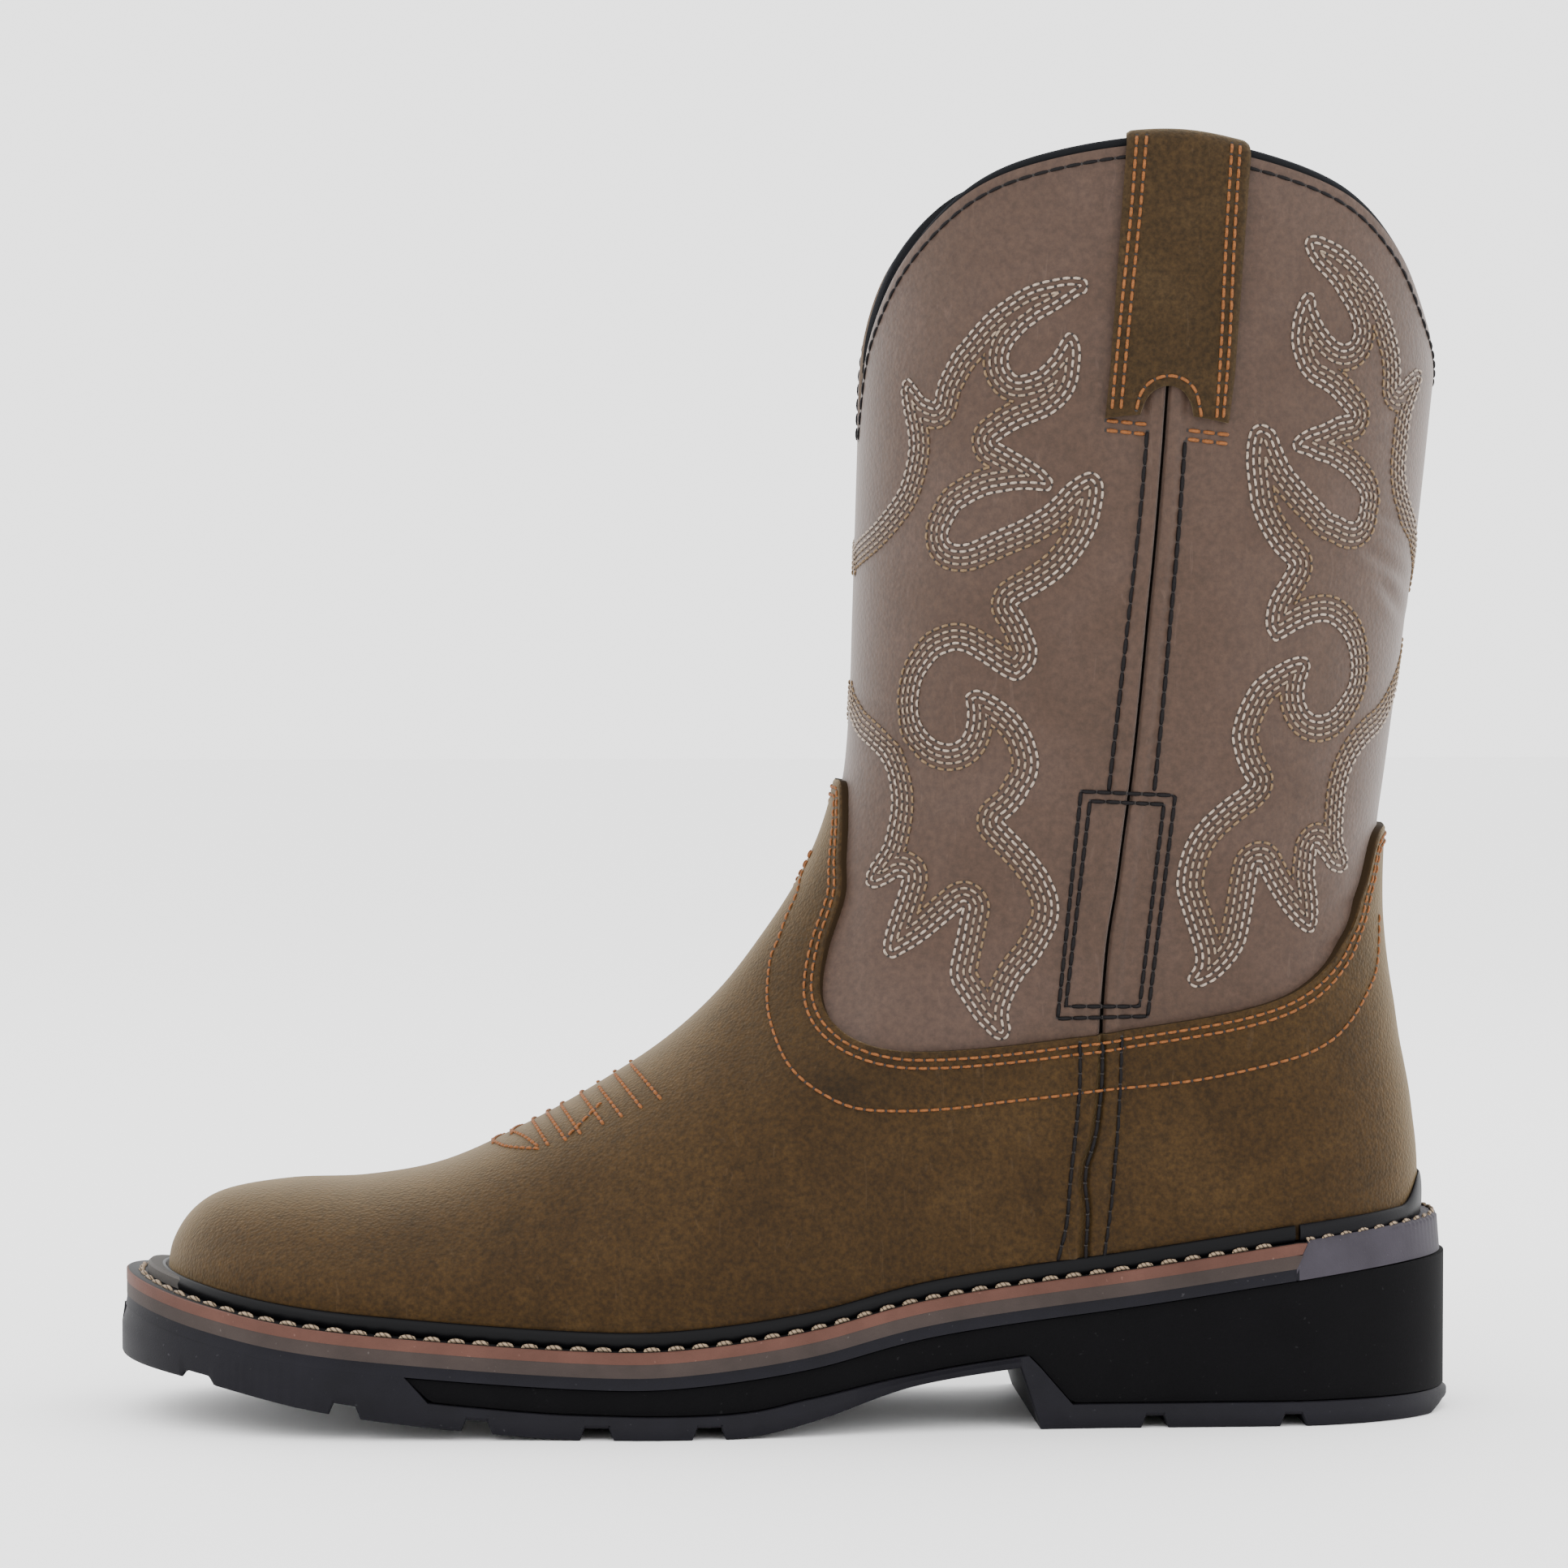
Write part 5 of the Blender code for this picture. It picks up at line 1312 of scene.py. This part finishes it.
class Sewing:
    """Collects stitches of several threads and makes one piece of them."""

    def __init__(self, names):
        self.names = names
        self.points, self.faces, self.indices = [], [], []
        self.count = 0

    def add(self, points, faces, index):
        self.points.append(points)
        self.faces.extend((faces + self.count).tolist())
        self.indices.extend([index] * len(faces))
        self.count += len(points)

    def row(self, places, normals, thread, stitch, holes=True, twist=0.0):
        """Stitches along a path, each a rounded grain whose ends sink into the leather. A
        stitch is its pitch, its half width, the share of the pitch it fills and its bulge."""
        if len(places) < 2:
            return
        pitch, wide, fill, bulge = stitch
        gap = np.linalg.norm(np.diff(places, axis=0), axis=1)
        run = np.concatenate([[0], np.cumsum(gap)])
        count = max(int(run[-1] / pitch), 1)
        step = run[-1] / count
        at = lambda rows, where: np.stack([np.interp(where, run, rows[:, k]) for k in range(3)], -1)
        index = self.names.index(thread)
        turn = np.linspace(0, 2 * math.pi, THREAD_SIDES, endpoint=False)
        rings = len(STITCH_SHARES)
        ring_faces = []
        for r in range(rings - 1):
            for s in range(THREAD_SIDES):
                n = (s + 1) % THREAD_SIDES
                ring_faces.append((r * THREAD_SIDES + s, r * THREAD_SIDES + n,
                                   (r + 1) * THREAD_SIDES + n, (r + 1) * THREAD_SIDES + s))
        ring_faces = np.array(ring_faces)
        hole_turn = np.linspace(0, 2 * math.pi, HOLE_SIDES, endpoint=False)
        hole_faces = np.array([(HOLE_SIDES, s, (s + 1) % HOLE_SIDES, (s + 1) % HOLE_SIDES)
                               for s in range(HOLE_SIDES)])
        for near in np.arange(count) * step:
            line = at(places, near + (0.5 - fill / 2 + STITCH_SHARES * fill) * step)
            way = line[-1] - line[0]
            length = np.linalg.norm(way)
            if length < 1e-5 or length > pitch * LONGEST_STITCH:
                continue
            way = way / length
            up = at(normals, [near + step / 2])[0]
            up = unit(up - way * (up @ way))
            across = np.cross(up, way)
            line = line + np.outer(np.linspace(-1, 1, rings) * twist * wide, across)
            line = line + np.outer(STITCH_RISE * bulge, up)
            circle = (np.cos(turn)[:, None] * across + np.sin(turn)[:, None] * up * 0.8)
            thick = (STITCH_SWELL * wide)[:, None, None]
            self.add((line[:, None, :] + circle[None] * thick).reshape(-1, 3), ring_faces, index)
            if holes:
                # A flat dark disc of painted shade where the stitch goes into the leather.
                spot = at(places, [near])[0] + up * HOLE_LIFT
                disc = spot + (np.cos(hole_turn)[:, None] * way * HOLE_LENGTH
                               + np.sin(hole_turn)[:, None] * across * wide * 1.15)
                self.add(np.vstack([disc, spot + up * 0.00002]), hole_faces,
                         len(self.names))

    def finish(self, name):
        mesh = bpy.data.meshes.new(name)
        quads = [f[:3] if f[2] == f[3] else f for f in self.faces]
        mesh.from_pydata(np.vstack(self.points).tolist(), [], quads)
        for thread in self.names:
            mesh.materials.append(threads[thread])
        mesh.materials.append(needle_hole_shade)
        mesh.polygons.foreach_set("material_index", np.array(self.indices, np.int32))
        mesh.shade_smooth()
        item = bpy.data.objects.new(name, mesh)
        bpy.context.scene.collection.objects.link(item)
        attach(item, "root")


sewn = shaft_shell(0.0)
shaft_tree = BVHTree.FromPolygons(np.vstack(sewn).tolist(), grid_faces(len(sewn), columns, True))

# The cream row in pixels of the photo, from the shaft's front edge round and back to it
FRONT_FLAME = (
    (1054.8, 671), (1060.7, 664), (1079.6, 645), (1098.4, 621), (1110, 602), (1116, 583),
    (1120.3, 562), (1121.5, 548), (1120.3, 532), (1117, 514), (1113.5, 495), (1112.3, 477),
    (1119, 467), (1129.5, 479), (1138.7, 490.7), (1152.5, 497), (1156, 479), (1159.4, 468),
    (1168.6, 449), (1177.7, 433), (1187, 422), (1198.4, 408), (1212, 393), (1226, 380.5),
    (1242, 369), (1258, 358.7), (1276.5, 350.7), (1295, 346), (1315.5, 342.6), (1335, 344),
    (1339.6, 351), (1337, 360), (1329, 363), (1311, 375), (1295, 385), (1283, 391),
    (1274, 398), (1265, 404.6), (1256, 414), (1249, 422), (1244, 431), (1242, 440),
    (1242, 449), (1245.5, 457), (1253.5, 464), (1269.6, 461), (1279, 457), (1285.6, 452),
    (1297, 440), (1304, 429), (1311, 417), (1316.6, 411), (1321, 411.5), (1327, 418),
    (1330.4, 433), (1329, 454), (1327, 468), (1321, 484), (1313, 495), (1304, 503),
    (1292.5, 511), (1278.7, 517), (1258, 525), (1242, 534), (1227, 544.6), (1239.7, 551.5),
    (1253.5, 559.6), (1269.6, 568.8), (1283, 578), (1292, 587), (1296.6, 594), (1292, 603.7),
    (1280, 603), (1266, 602), (1252, 602.5), (1235, 605), (1219, 608), (1204.6, 614),
    (1190.5, 622), (1181, 629), (1174, 641), (1168, 654), (1168, 664), (1172.8, 670),
    (1183.4, 672), (1195, 670), (1209, 664), (1230.6, 654), (1256.5, 643), (1285, 627),
    (1301, 613), (1313, 600), (1327, 589.5), (1339, 583.6), (1348.5, 583.6), (1356.8, 593),
    (1358.5, 607), (1355.6, 626), (1349.7, 650), (1339, 671), (1327, 688.6), (1313, 705),
    (1296.6, 718), (1277.8, 730), (1261, 739), (1251.8, 745), (1259, 756), (1266, 769),
    (1272, 784), (1276.6, 798), (1275.4, 814), (1268, 826.6), (1256.5, 836.5), (1247, 836.5),
    (1230.6, 828), (1216.4, 818), (1202, 809), (1190.5, 802.6), (1178.7, 800), (1167, 803),
    (1155, 809), (1144.4, 822), (1136, 836), (1131.5, 855), (1130.3, 874), (1133.8, 890),
    (1143, 904.5), (1155, 914), (1169, 917.5), (1181, 914), (1189, 904.5), (1192.8, 890),
    (1193.3, 874), (1190.5, 858.5), (1197.5, 852.6), (1205.8, 851.4), (1218.8, 856),
    (1235, 865.6), (1249.4, 877), (1261, 890), (1270, 905), (1276, 923), (1278.8, 938),
    (1277.5, 951), (1273.7, 964), (1267, 974), (1261, 985.5), (1252, 997), (1244, 1004.6),
    (1234, 1012), (1247, 1025), (1259.6, 1038), (1271, 1050.5), (1281, 1063), (1290, 1076),
    (1296.6, 1090), (1301.8, 1104), (1303.5, 1122), (1300.5, 1140), (1293, 1156),
    (1285, 1170.5), (1275, 1186), (1265, 1197), (1254.5, 1212.6), (1247, 1229),
    (1241.8, 1244.5), (1241.8, 1257), (1243.8, 1270), (1236.7, 1280), (1225, 1277.7),
    (1213.7, 1267), (1202, 1254.7), (1190.8, 1238), (1181.8, 1224), (1174, 1210),
    (1171.6, 1196), (1175.4, 1175.6), (1180.5, 1152.6), (1184.4, 1132), (1188, 1117),
    (1175.4, 1127), (1160, 1140), (1142, 1155), (1124.4, 1166.7), (1109, 1175.6), (1099, 1180),
    (1090.7, 1174), (1090, 1163), (1093.8, 1145), (1101.4, 1122), (1109, 1099), (1114, 1081),
    (1106.5, 1080), (1093.8, 1087.5), (1081, 1093), (1072, 1092), (1068, 1085), (1072, 1071),
    (1081, 1057), (1090, 1041.6), (1095, 1022.5), (1099, 1002), (1100, 982), (1097.6, 964),
    (1093.8, 948.5), (1085, 932), (1070.8, 917), (1058, 904), (1049, 884),
)
FRONT_CORNERS = ((1152.5, 497), (1227, 544.6), (1251.8, 745), (1190.5, 858.5), (1234, 1012),
                 (1188, 1117), (1114, 1081))
# The cream row behind the seam, from the shaft's back edge round and back to it
REAR_FLAME = (
    (1743, 640), (1735, 615), (1731, 595), (1730, 572), (1732.4, 546.5), (1735, 523),
    (1737.2, 510), (1740.4, 499), (1744, 488), (1747.6, 477.4), (1750.2, 466.5),
    (1749.8, 458.3), (1744.8, 456), (1738.3, 461), (1730.7, 468.7), (1723, 476.3),
    (1724, 463), (1723.7, 453.5), (1722, 431.8), (1717.7, 412.3), (1713.8, 397), (1707.9, 379.8),
    (1701.4, 364.6), (1693.8, 349.4), (1685, 337.5), (1674.3, 324.5), (1661.3, 312.5),
    (1648.2, 302.8), (1635.2, 296.3), (1624.4, 291.9), (1613.5, 291.9), (1608.8, 297.4),
    (1609.2, 305), (1613.5, 315.8), (1622.2, 328.8), (1633, 339.7), (1643.9, 352.7),
    (1651.5, 365.7), (1659, 377.6), (1665.6, 392.8), (1668.9, 405.8), (1667.8, 414.5),
    (1663.4, 422), (1654.8, 425), (1646, 421), (1637.4, 412.3), (1629.8, 401.5),
    (1624.4, 390.6), (1620, 378.7), (1619, 366.8), (1615.7, 362), (1609.2, 362), (1603.8, 368),
    (1599.4, 377.6), (1595, 390.6), (1592.9, 403.6), (1591.8, 416.7), (1593.4, 429.7),
    (1597.3, 442.7), (1602.7, 455.7), (1613.5, 468.7), (1626.6, 476.3), (1639.6, 485),
    (1650.4, 497), (1659, 507), (1663.4, 511.7), (1648, 514.6), (1638, 519.7), (1626.6, 525),
    (1615, 528.7), (1605, 533.8), (1597, 540), (1593.4, 546.5), (1594.7, 553), (1600, 556.7),
    (1610, 559.3), (1622.8, 565.7), (1635.5, 569.5), (1648, 577), (1658.5, 584.8),
    (1667.4, 595), (1675, 605), (1677.6, 615.4), (1676, 625.6), (1674, 637), (1670, 643.5),
    (1661, 643.5), (1651, 638), (1638, 632), (1625, 618), (1612.6, 605), (1602, 592.4),
    (1589.6, 577), (1582, 562), (1575.6, 546.5), (1570.5, 533.8), (1564, 527.4), (1554, 523.6),
    (1546, 526), (1541, 532.5), (1537.8, 546.5), (1536.5, 567), (1537.8, 585), (1540, 602.7),
    (1542.4, 620.5), (1547.5, 636), (1554, 651), (1563, 666.4), (1571.7, 679), (1582, 689),
    (1589, 697), (1579, 715), (1569.7, 730), (1563.6, 744), (1560.7, 759), (1561, 773),
    (1567, 785), (1572, 789), (1584, 783), (1601, 773), (1618, 766.5), (1632.7, 765),
    (1645, 771), (1657, 785), (1663, 802), (1665.4, 824), (1662, 844), (1653, 860.5),
    (1642, 875), (1628, 882), (1615.7, 880), (1608, 870), (1605, 856), (1607, 839),
    (1612.8, 823), (1611, 813), (1602, 810), (1589, 813), (1574.5, 820.5), (1560, 829.5),
    (1545, 842), (1534.5, 859), (1526, 877.5), (1521, 894.5), (1519, 907), (1521, 921),
    (1525, 936), (1532, 953), (1539, 964), (1528.5, 973), (1511.5, 985), (1494.5, 999),
    (1480, 1013), (1468, 1028.5), (1458, 1050), (1452, 1074.5), (1451, 1096), (1457, 1118),
    (1464, 1140), (1470, 1159), (1474, 1176), (1472.7, 1191), (1464, 1206.6), (1474, 1215.6),
    (1492, 1209), (1506.6, 1198), (1521, 1182), (1532, 1163), (1538, 1137.5), (1543, 1108),
    (1546.6, 1084), (1549.8, 1067), (1560, 1086.6), (1572, 1107), (1585, 1125),
    (1598.7, 1140), (1611, 1148), (1619, 1143.6), (1622, 1125), (1621, 1101), (1618, 1077),
    (1620.6, 1045), (1630, 1057.5), (1638.7, 1070), (1652, 1074), (1658.8, 1066),
    (1658, 1053), (1653, 1036), (1652.8, 1014), (1654.5, 992), (1657, 970), (1663, 948.5),
    (1672.7, 929), (1686, 912), (1697, 901), (1706, 887),
)
REAR_CORNERS = ((1723, 476.3), (1663.4, 511.7), (1589, 697), (1612.8, 823), (1539, 964),
                (1549.8, 1067), (1620.6, 1045))


def to_middle(tree, places, normals):
    """Both ends of a laid path led on, sloping down, to the middle line of the boot."""
    for end in (0, -1):
        start = places[end]
        axis = np.array((SHAFT_AXIS_X, 0.0))
        spoke = start[:2] - axis
        reach = np.linalg.norm(spoke)
        turn = math.atan2(spoke[1], spoke[0])
        goal = math.pi * np.sign(turn) if abs(turn) > math.pi / 2 else 0.0
        slope = FLAME_END_SLOPE * np.sign((places[1] - start)[2] if end == 0
                                          else (places[-2] - start)[2])
        spots, turned = [], []
        for share in np.linspace(0.1, 1.0, 10):
            angle = turn + (goal - turn) * share
            rise = -slope * reach * abs(goal - turn) * share
            place, normal = tree.find_nearest(Vector((
                axis[0] + reach * math.cos(angle), axis[1] + reach * math.sin(angle),
                start[2] + rise)))[:2]
            outward = Vector((place.x - SHAFT_AXIS_X, place.y, 0))
            spots.append(place)
            turned.append(normal if normal.dot(outward) > 0 else -normal)
        spots, turned = np.array(spots), np.array(turned)
        if end == 0:
            places, normals = np.vstack([spots[::-1], places]), np.vstack([turned[::-1], normals])
        else:
            places, normals = np.vstack([places, spots]), np.vstack([normals, turned])
    return places, normals


def flame(name, outline, corner_points, turn_side, mirror):
    pixels = dense_path(outline, [outline.index(c) for c in corner_points])
    places, normals = to_middle(shaft_tree, *lay(shaft_tree, pixels, mirror))
    places, normals = walk(places, normals, WALK_STEP)
    sewing = Sewing(["cream", "sand", "tan"])
    sewing.row(places, normals, FLAME_COLOURS[0], FLAME_STITCH)
    for k in range(1, 5):
        shift = ROW_GAP * k * turn_side * (-1 if mirror else 1)
        for spots, turned in beside(places, normals, shift, shaft_tree):
            sewing.row(spots, turned, FLAME_COLOURS[k], FLAME_STITCH)
    sewing.finish(name)


for mirror, word in ((False, "outer"), (True, "inner")):
    flame("flame_front_" + word, FRONT_FLAME, FRONT_CORNERS, -1, mirror)
    flame("flame_rear_" + word, REAR_FLAME, REAR_CORNERS, 1, mirror)


# Seam, collar and overlay stitching
# Dark thread closes the side seam, its box over the overlay's joint and the collar. Orange
# thread holds the overlays along their raw edge and forms the toe's small pattern.
SEAM_LEFT = ((1414, 531), (1405, 635), (1394, 735), (1379, 863), (1366, 975))
SEAM_RIGHT = ((1460, 544), (1452, 655), (1442, 767), (1433, 868), (1422, 975))
BOX_OUTER = ((1332, 975), (1448, 980), (1414, 1252), (1303, 1255), (1332, 975))
BOX_INNER = ((1343, 987), (1434, 991), (1404, 1240), (1313, 1240), (1343, 987))
HEEL_ROWS = (
    ((1331, 1284), (1330, 1347), (1319, 1455), (1314, 1509), (1303, 1554)),
    ((1382, 1277), (1379, 1359), (1371, 1465), (1360, 1551)),
)
THIRD_ROW = (
    (1002, 1047), (988, 1078), (982, 1101), (970, 1128), (959, 1158), (949, 1185), (946, 1240),
    (960, 1290), (980, 1322), (1012, 1347), (1053, 1365), (1107, 1369), (1171, 1366),
    (1235, 1358), (1299, 1351), (1363, 1343), (1480, 1330), (1583, 1307), (1631, 1288),
    (1663, 1259), (1688, 1215), (1697, 1183), (1699, 1125),
)
TOE_ROWS = (
    ((604, 1404), (625, 1413), (665, 1416)), ((625, 1392), (645, 1400), (663, 1413)),
    ((654, 1377), (676, 1412)), ((672, 1368), (698, 1406)), ((691, 1361), (716, 1398)),
    ((716, 1348), (744, 1386)), ((738, 1339), (767, 1377)), ((758, 1324), (791, 1366)),
    ((778, 1312), (815, 1355)), ((700, 1400), (742, 1358)),
)
FOOT_SEAM_RINGS = (0.02, 0.485)
EDGE_STEP = 0.0005
EDGE_GUARD = 0.9
COLLAR_ROW_SHIFT = 0.0025
OVERLAY_ROW_SHIFTS = (0.0019, 0.0038)
SEAM_STITCH = (0.0038, 0.00050, 1.0, 0.00030)
COLLAR_STITCH = (0.0038, 0.00040, 0.92, 0.00025)
BOX_STITCH = (0.0036, 0.00048, 1.0, 0.00035)
HEEL_STITCH = (0.0036, 0.00045, 1.0, 0.00030)
OVERLAY_STITCH = (0.0026, 0.00034, 0.82, 0.00028)
TOE_STITCH = (0.0023, 0.00042, 0.84, 0.00028)
ORANGE = (0.170, 0.062, 0.019)
DARK_THREAD = (0.0040, 0.0030, 0.0034)

threads["orange"] = thread_material("orange_thread", ORANGE)
threads["dark"] = thread_material("dark_thread", DARK_THREAD)
sewn_points, sewn_faces = [], []
for part_columns in (vamp_columns, counter_columns):
    sewn = foot_shell(part_columns, 0.0)
    sewn_faces.extend([[len(sewn_points) + k for k in face]
                       for face in grid_faces(len(sewn), len(part_columns), False)])
    sewn_points.extend(np.vstack(sewn).tolist())
foot_tree = BVHTree.FromPolygons(sewn_points, sewn_faces)

for mirror, word in ((False, "outer"), (True, "inner")):
    sign = 1 if mirror else -1
    sewing = Sewing(["dark"])
    for path in (SEAM_LEFT, SEAM_RIGHT):
        sewing.row(*lay(shaft_tree, dense_path(path), mirror), "dark", SEAM_STITCH)
    turns = sign * np.radians(np.linspace(0.5, 179.5, 700))
    edge, normals = walk(form_point(turns, 1.0), form_normal(turns, 0.995), EDGE_STEP)
    for spots, turned in beside(edge, normals, COLLAR_ROW_SHIFT * sign, shaft_tree, EDGE_GUARD):
        sewing.row(spots, turned, "dark", COLLAR_STITCH)
    for path in (BOX_OUTER, BOX_INNER):
        sewing.row(*lay(shaft_tree, dense_path(path, range(1, 4)), mirror), "dark", BOX_STITCH)
    for path in HEEL_ROWS:
        sewing.row(*lay(foot_tree, dense_path(path), mirror), "dark", HEEL_STITCH)
    ring = np.linspace(*FOOT_SEAM_RINGS, 200)
    turned = sign * seam_angle(ring)
    normals = form_normal(turned, ring)
    places = form_point(turned, ring) + normals * (GAP + FOOT_LEATHER + SEAM_RAISE)
    sewing.row(places, normals, "dark", HEEL_STITCH)
    sewing.finish("dark_rows_" + word)
    sewing = Sewing(["orange"])
    turns = sign * np.radians(np.linspace(0, 180, 700))
    ring = np.interp(np.degrees(np.abs(turns)), VAMP_CURVE[:, 0], VAMP_CURVE[:, 1])
    normals = form_normal(turns, ring)
    edge = form_point(turns, ring) + normals * (GAP + FOOT_LEATHER)
    edge, normals = walk(edge, normals, EDGE_STEP)
    for shift in OVERLAY_ROW_SHIFTS:
        for spots, turned in beside(edge, normals, shift * sign, foot_tree, EDGE_GUARD):
            sewing.row(spots, turned, "orange", OVERLAY_STITCH)
    sewing.row(*lay(foot_tree, dense_path(THIRD_ROW), mirror), "orange", OVERLAY_STITCH)
    for path in TOE_ROWS:
        places, normals = lay(foot_tree, dense_path(path), mirror)
        own = (places[:, 1] - swing(places[:, 0] + ORIGIN_ALONG)) * sign >= -0.0002
        sewing.row(places[own], normals[own], "orange", TOE_STITCH)
    sewing.finish("orange_rows_" + word)


# Strap stitching
# Two orange rows run down each edge of a strap and one follows its arch. Short doubled rows
# across the shaft tack down its feet.
STRAP_ROWS = (
    ((1401, 166), (1394, 258), (1383, 369), (1370, 505)),
    ((1413, 166), (1405, 258), (1394, 369), (1381, 505)),
    ((1518, 176), (1511, 289), (1505, 417), (1499, 516)),
    ((1528, 178), (1521, 289), (1515, 417), (1507, 516)),
    ((1400, 506), (1406, 484), (1420, 469), (1440, 463), (1460, 468), (1474, 484), (1481, 517)),
)
TACK_ROWS = (
    ((1362, 518), (1414, 523)), ((1362, 530), (1412, 535)),
    ((1463, 530), (1516, 536)), ((1462, 541), (1514, 547)),
)
STRAP_STITCH = (0.0027, 0.00038, 0.84, 0.00030)
TACK_STITCH = (0.0026, 0.00045, 0.84, 0.00030)


def surface_of(item):
    """A search tree over the faces of one piece."""
    points = [tuple(v.co) for v in item.data.vertices]
    return BVHTree.FromPolygons(points, [tuple(f.vertices) for f in item.data.polygons])


strap_trees = {False: surface_of(strap_outer), True: surface_of(strap_inner)}

for mirror, word in ((False, "outer"), (True, "inner")):
    sewing = Sewing(["orange"])
    for path in STRAP_ROWS:
        places = lay(strap_trees[False], dense_path(path), mirror, strap_trees[True])
        sewing.row(*places, "orange", STRAP_STITCH)
    for path in TACK_ROWS:
        sewing.row(*lay(shaft_tree, dense_path(path), mirror), "orange", TACK_STITCH)
    sewing.finish("strap_rows_" + word)


# Welt stitching
# Thick cream thread, twisted and lock-stitched through the welt's outer rim. It is smaller
# round the heel, where it runs along the heel band's inner edge.
WELT_STITCH = (0.0056, 0.00068, 0.70, 0.00040)
WELT_THREAD_INSET = 0.0014
TOE_THREAD_INSET = 0.0020
BAND_STITCH = (0.0046, 0.0005, 0.72, 0.00050)
BAND_THREAD_INSET = 0.0012
THREAD_LIFT = 0.0001
TOE_THREAD_REACH = 0.035
TOE_GAP = 0.004
JOINT_GAP = 0.004
# Turn and scale of the dark bands of painted shade between the welt thread's plies
WELT_PLIES = (math.radians(40), 360.0)
WELT_THREAD = (0.230, 0.170, 0.115)


def sew_rim(sewing, path, stitch, twist):
    """A row of thick stitches on the flat rim along a path seen from above."""
    rim = np.column_stack([path[:, 0] - ORIGIN_ALONG, path[:, 1],
                           welt_top(path[:, 0]) + THREAD_LIFT])
    upward = np.tile((0.0, 0.0, 1.0), (len(rim), 1))
    sewing.row(rim, upward, "welt", stitch, False, twist)


threads["welt"] = thread_material("welt_thread", WELT_THREAD, WELT_PLIES)
sewing = Sewing(["welt"])
loop, outward = edge_loop(stations(400, end=stripe_edge - 0.001), SOLE_FLARE)
toe_inset = TOE_THREAD_INSET * ease(1 - loop[:, :1] / TOE_THREAD_REACH)
off_middle = np.abs(loop[:, 1] - swing(loop[:, 0]))
path = loop - outward * (WELT_THREAD_INSET + toe_inset)
path = path[(loop[:, 0] < stripe_edge - JOINT_GAP) & (off_middle > TOE_GAP)]
sew_rim(sewing, path, WELT_STITCH, 0.4)
loop, outward = edge_loop(stations(300, start=stripe_edge + 0.002), SOLE_FLARE)
path = loop - outward * BAND_THREAD_INSET
path = np.vstack([path[len(path) // 2:], path[:len(path) // 2]])
sew_rim(sewing, path, BAND_STITCH, 0.5)
sewing.finish("welt_stitches")
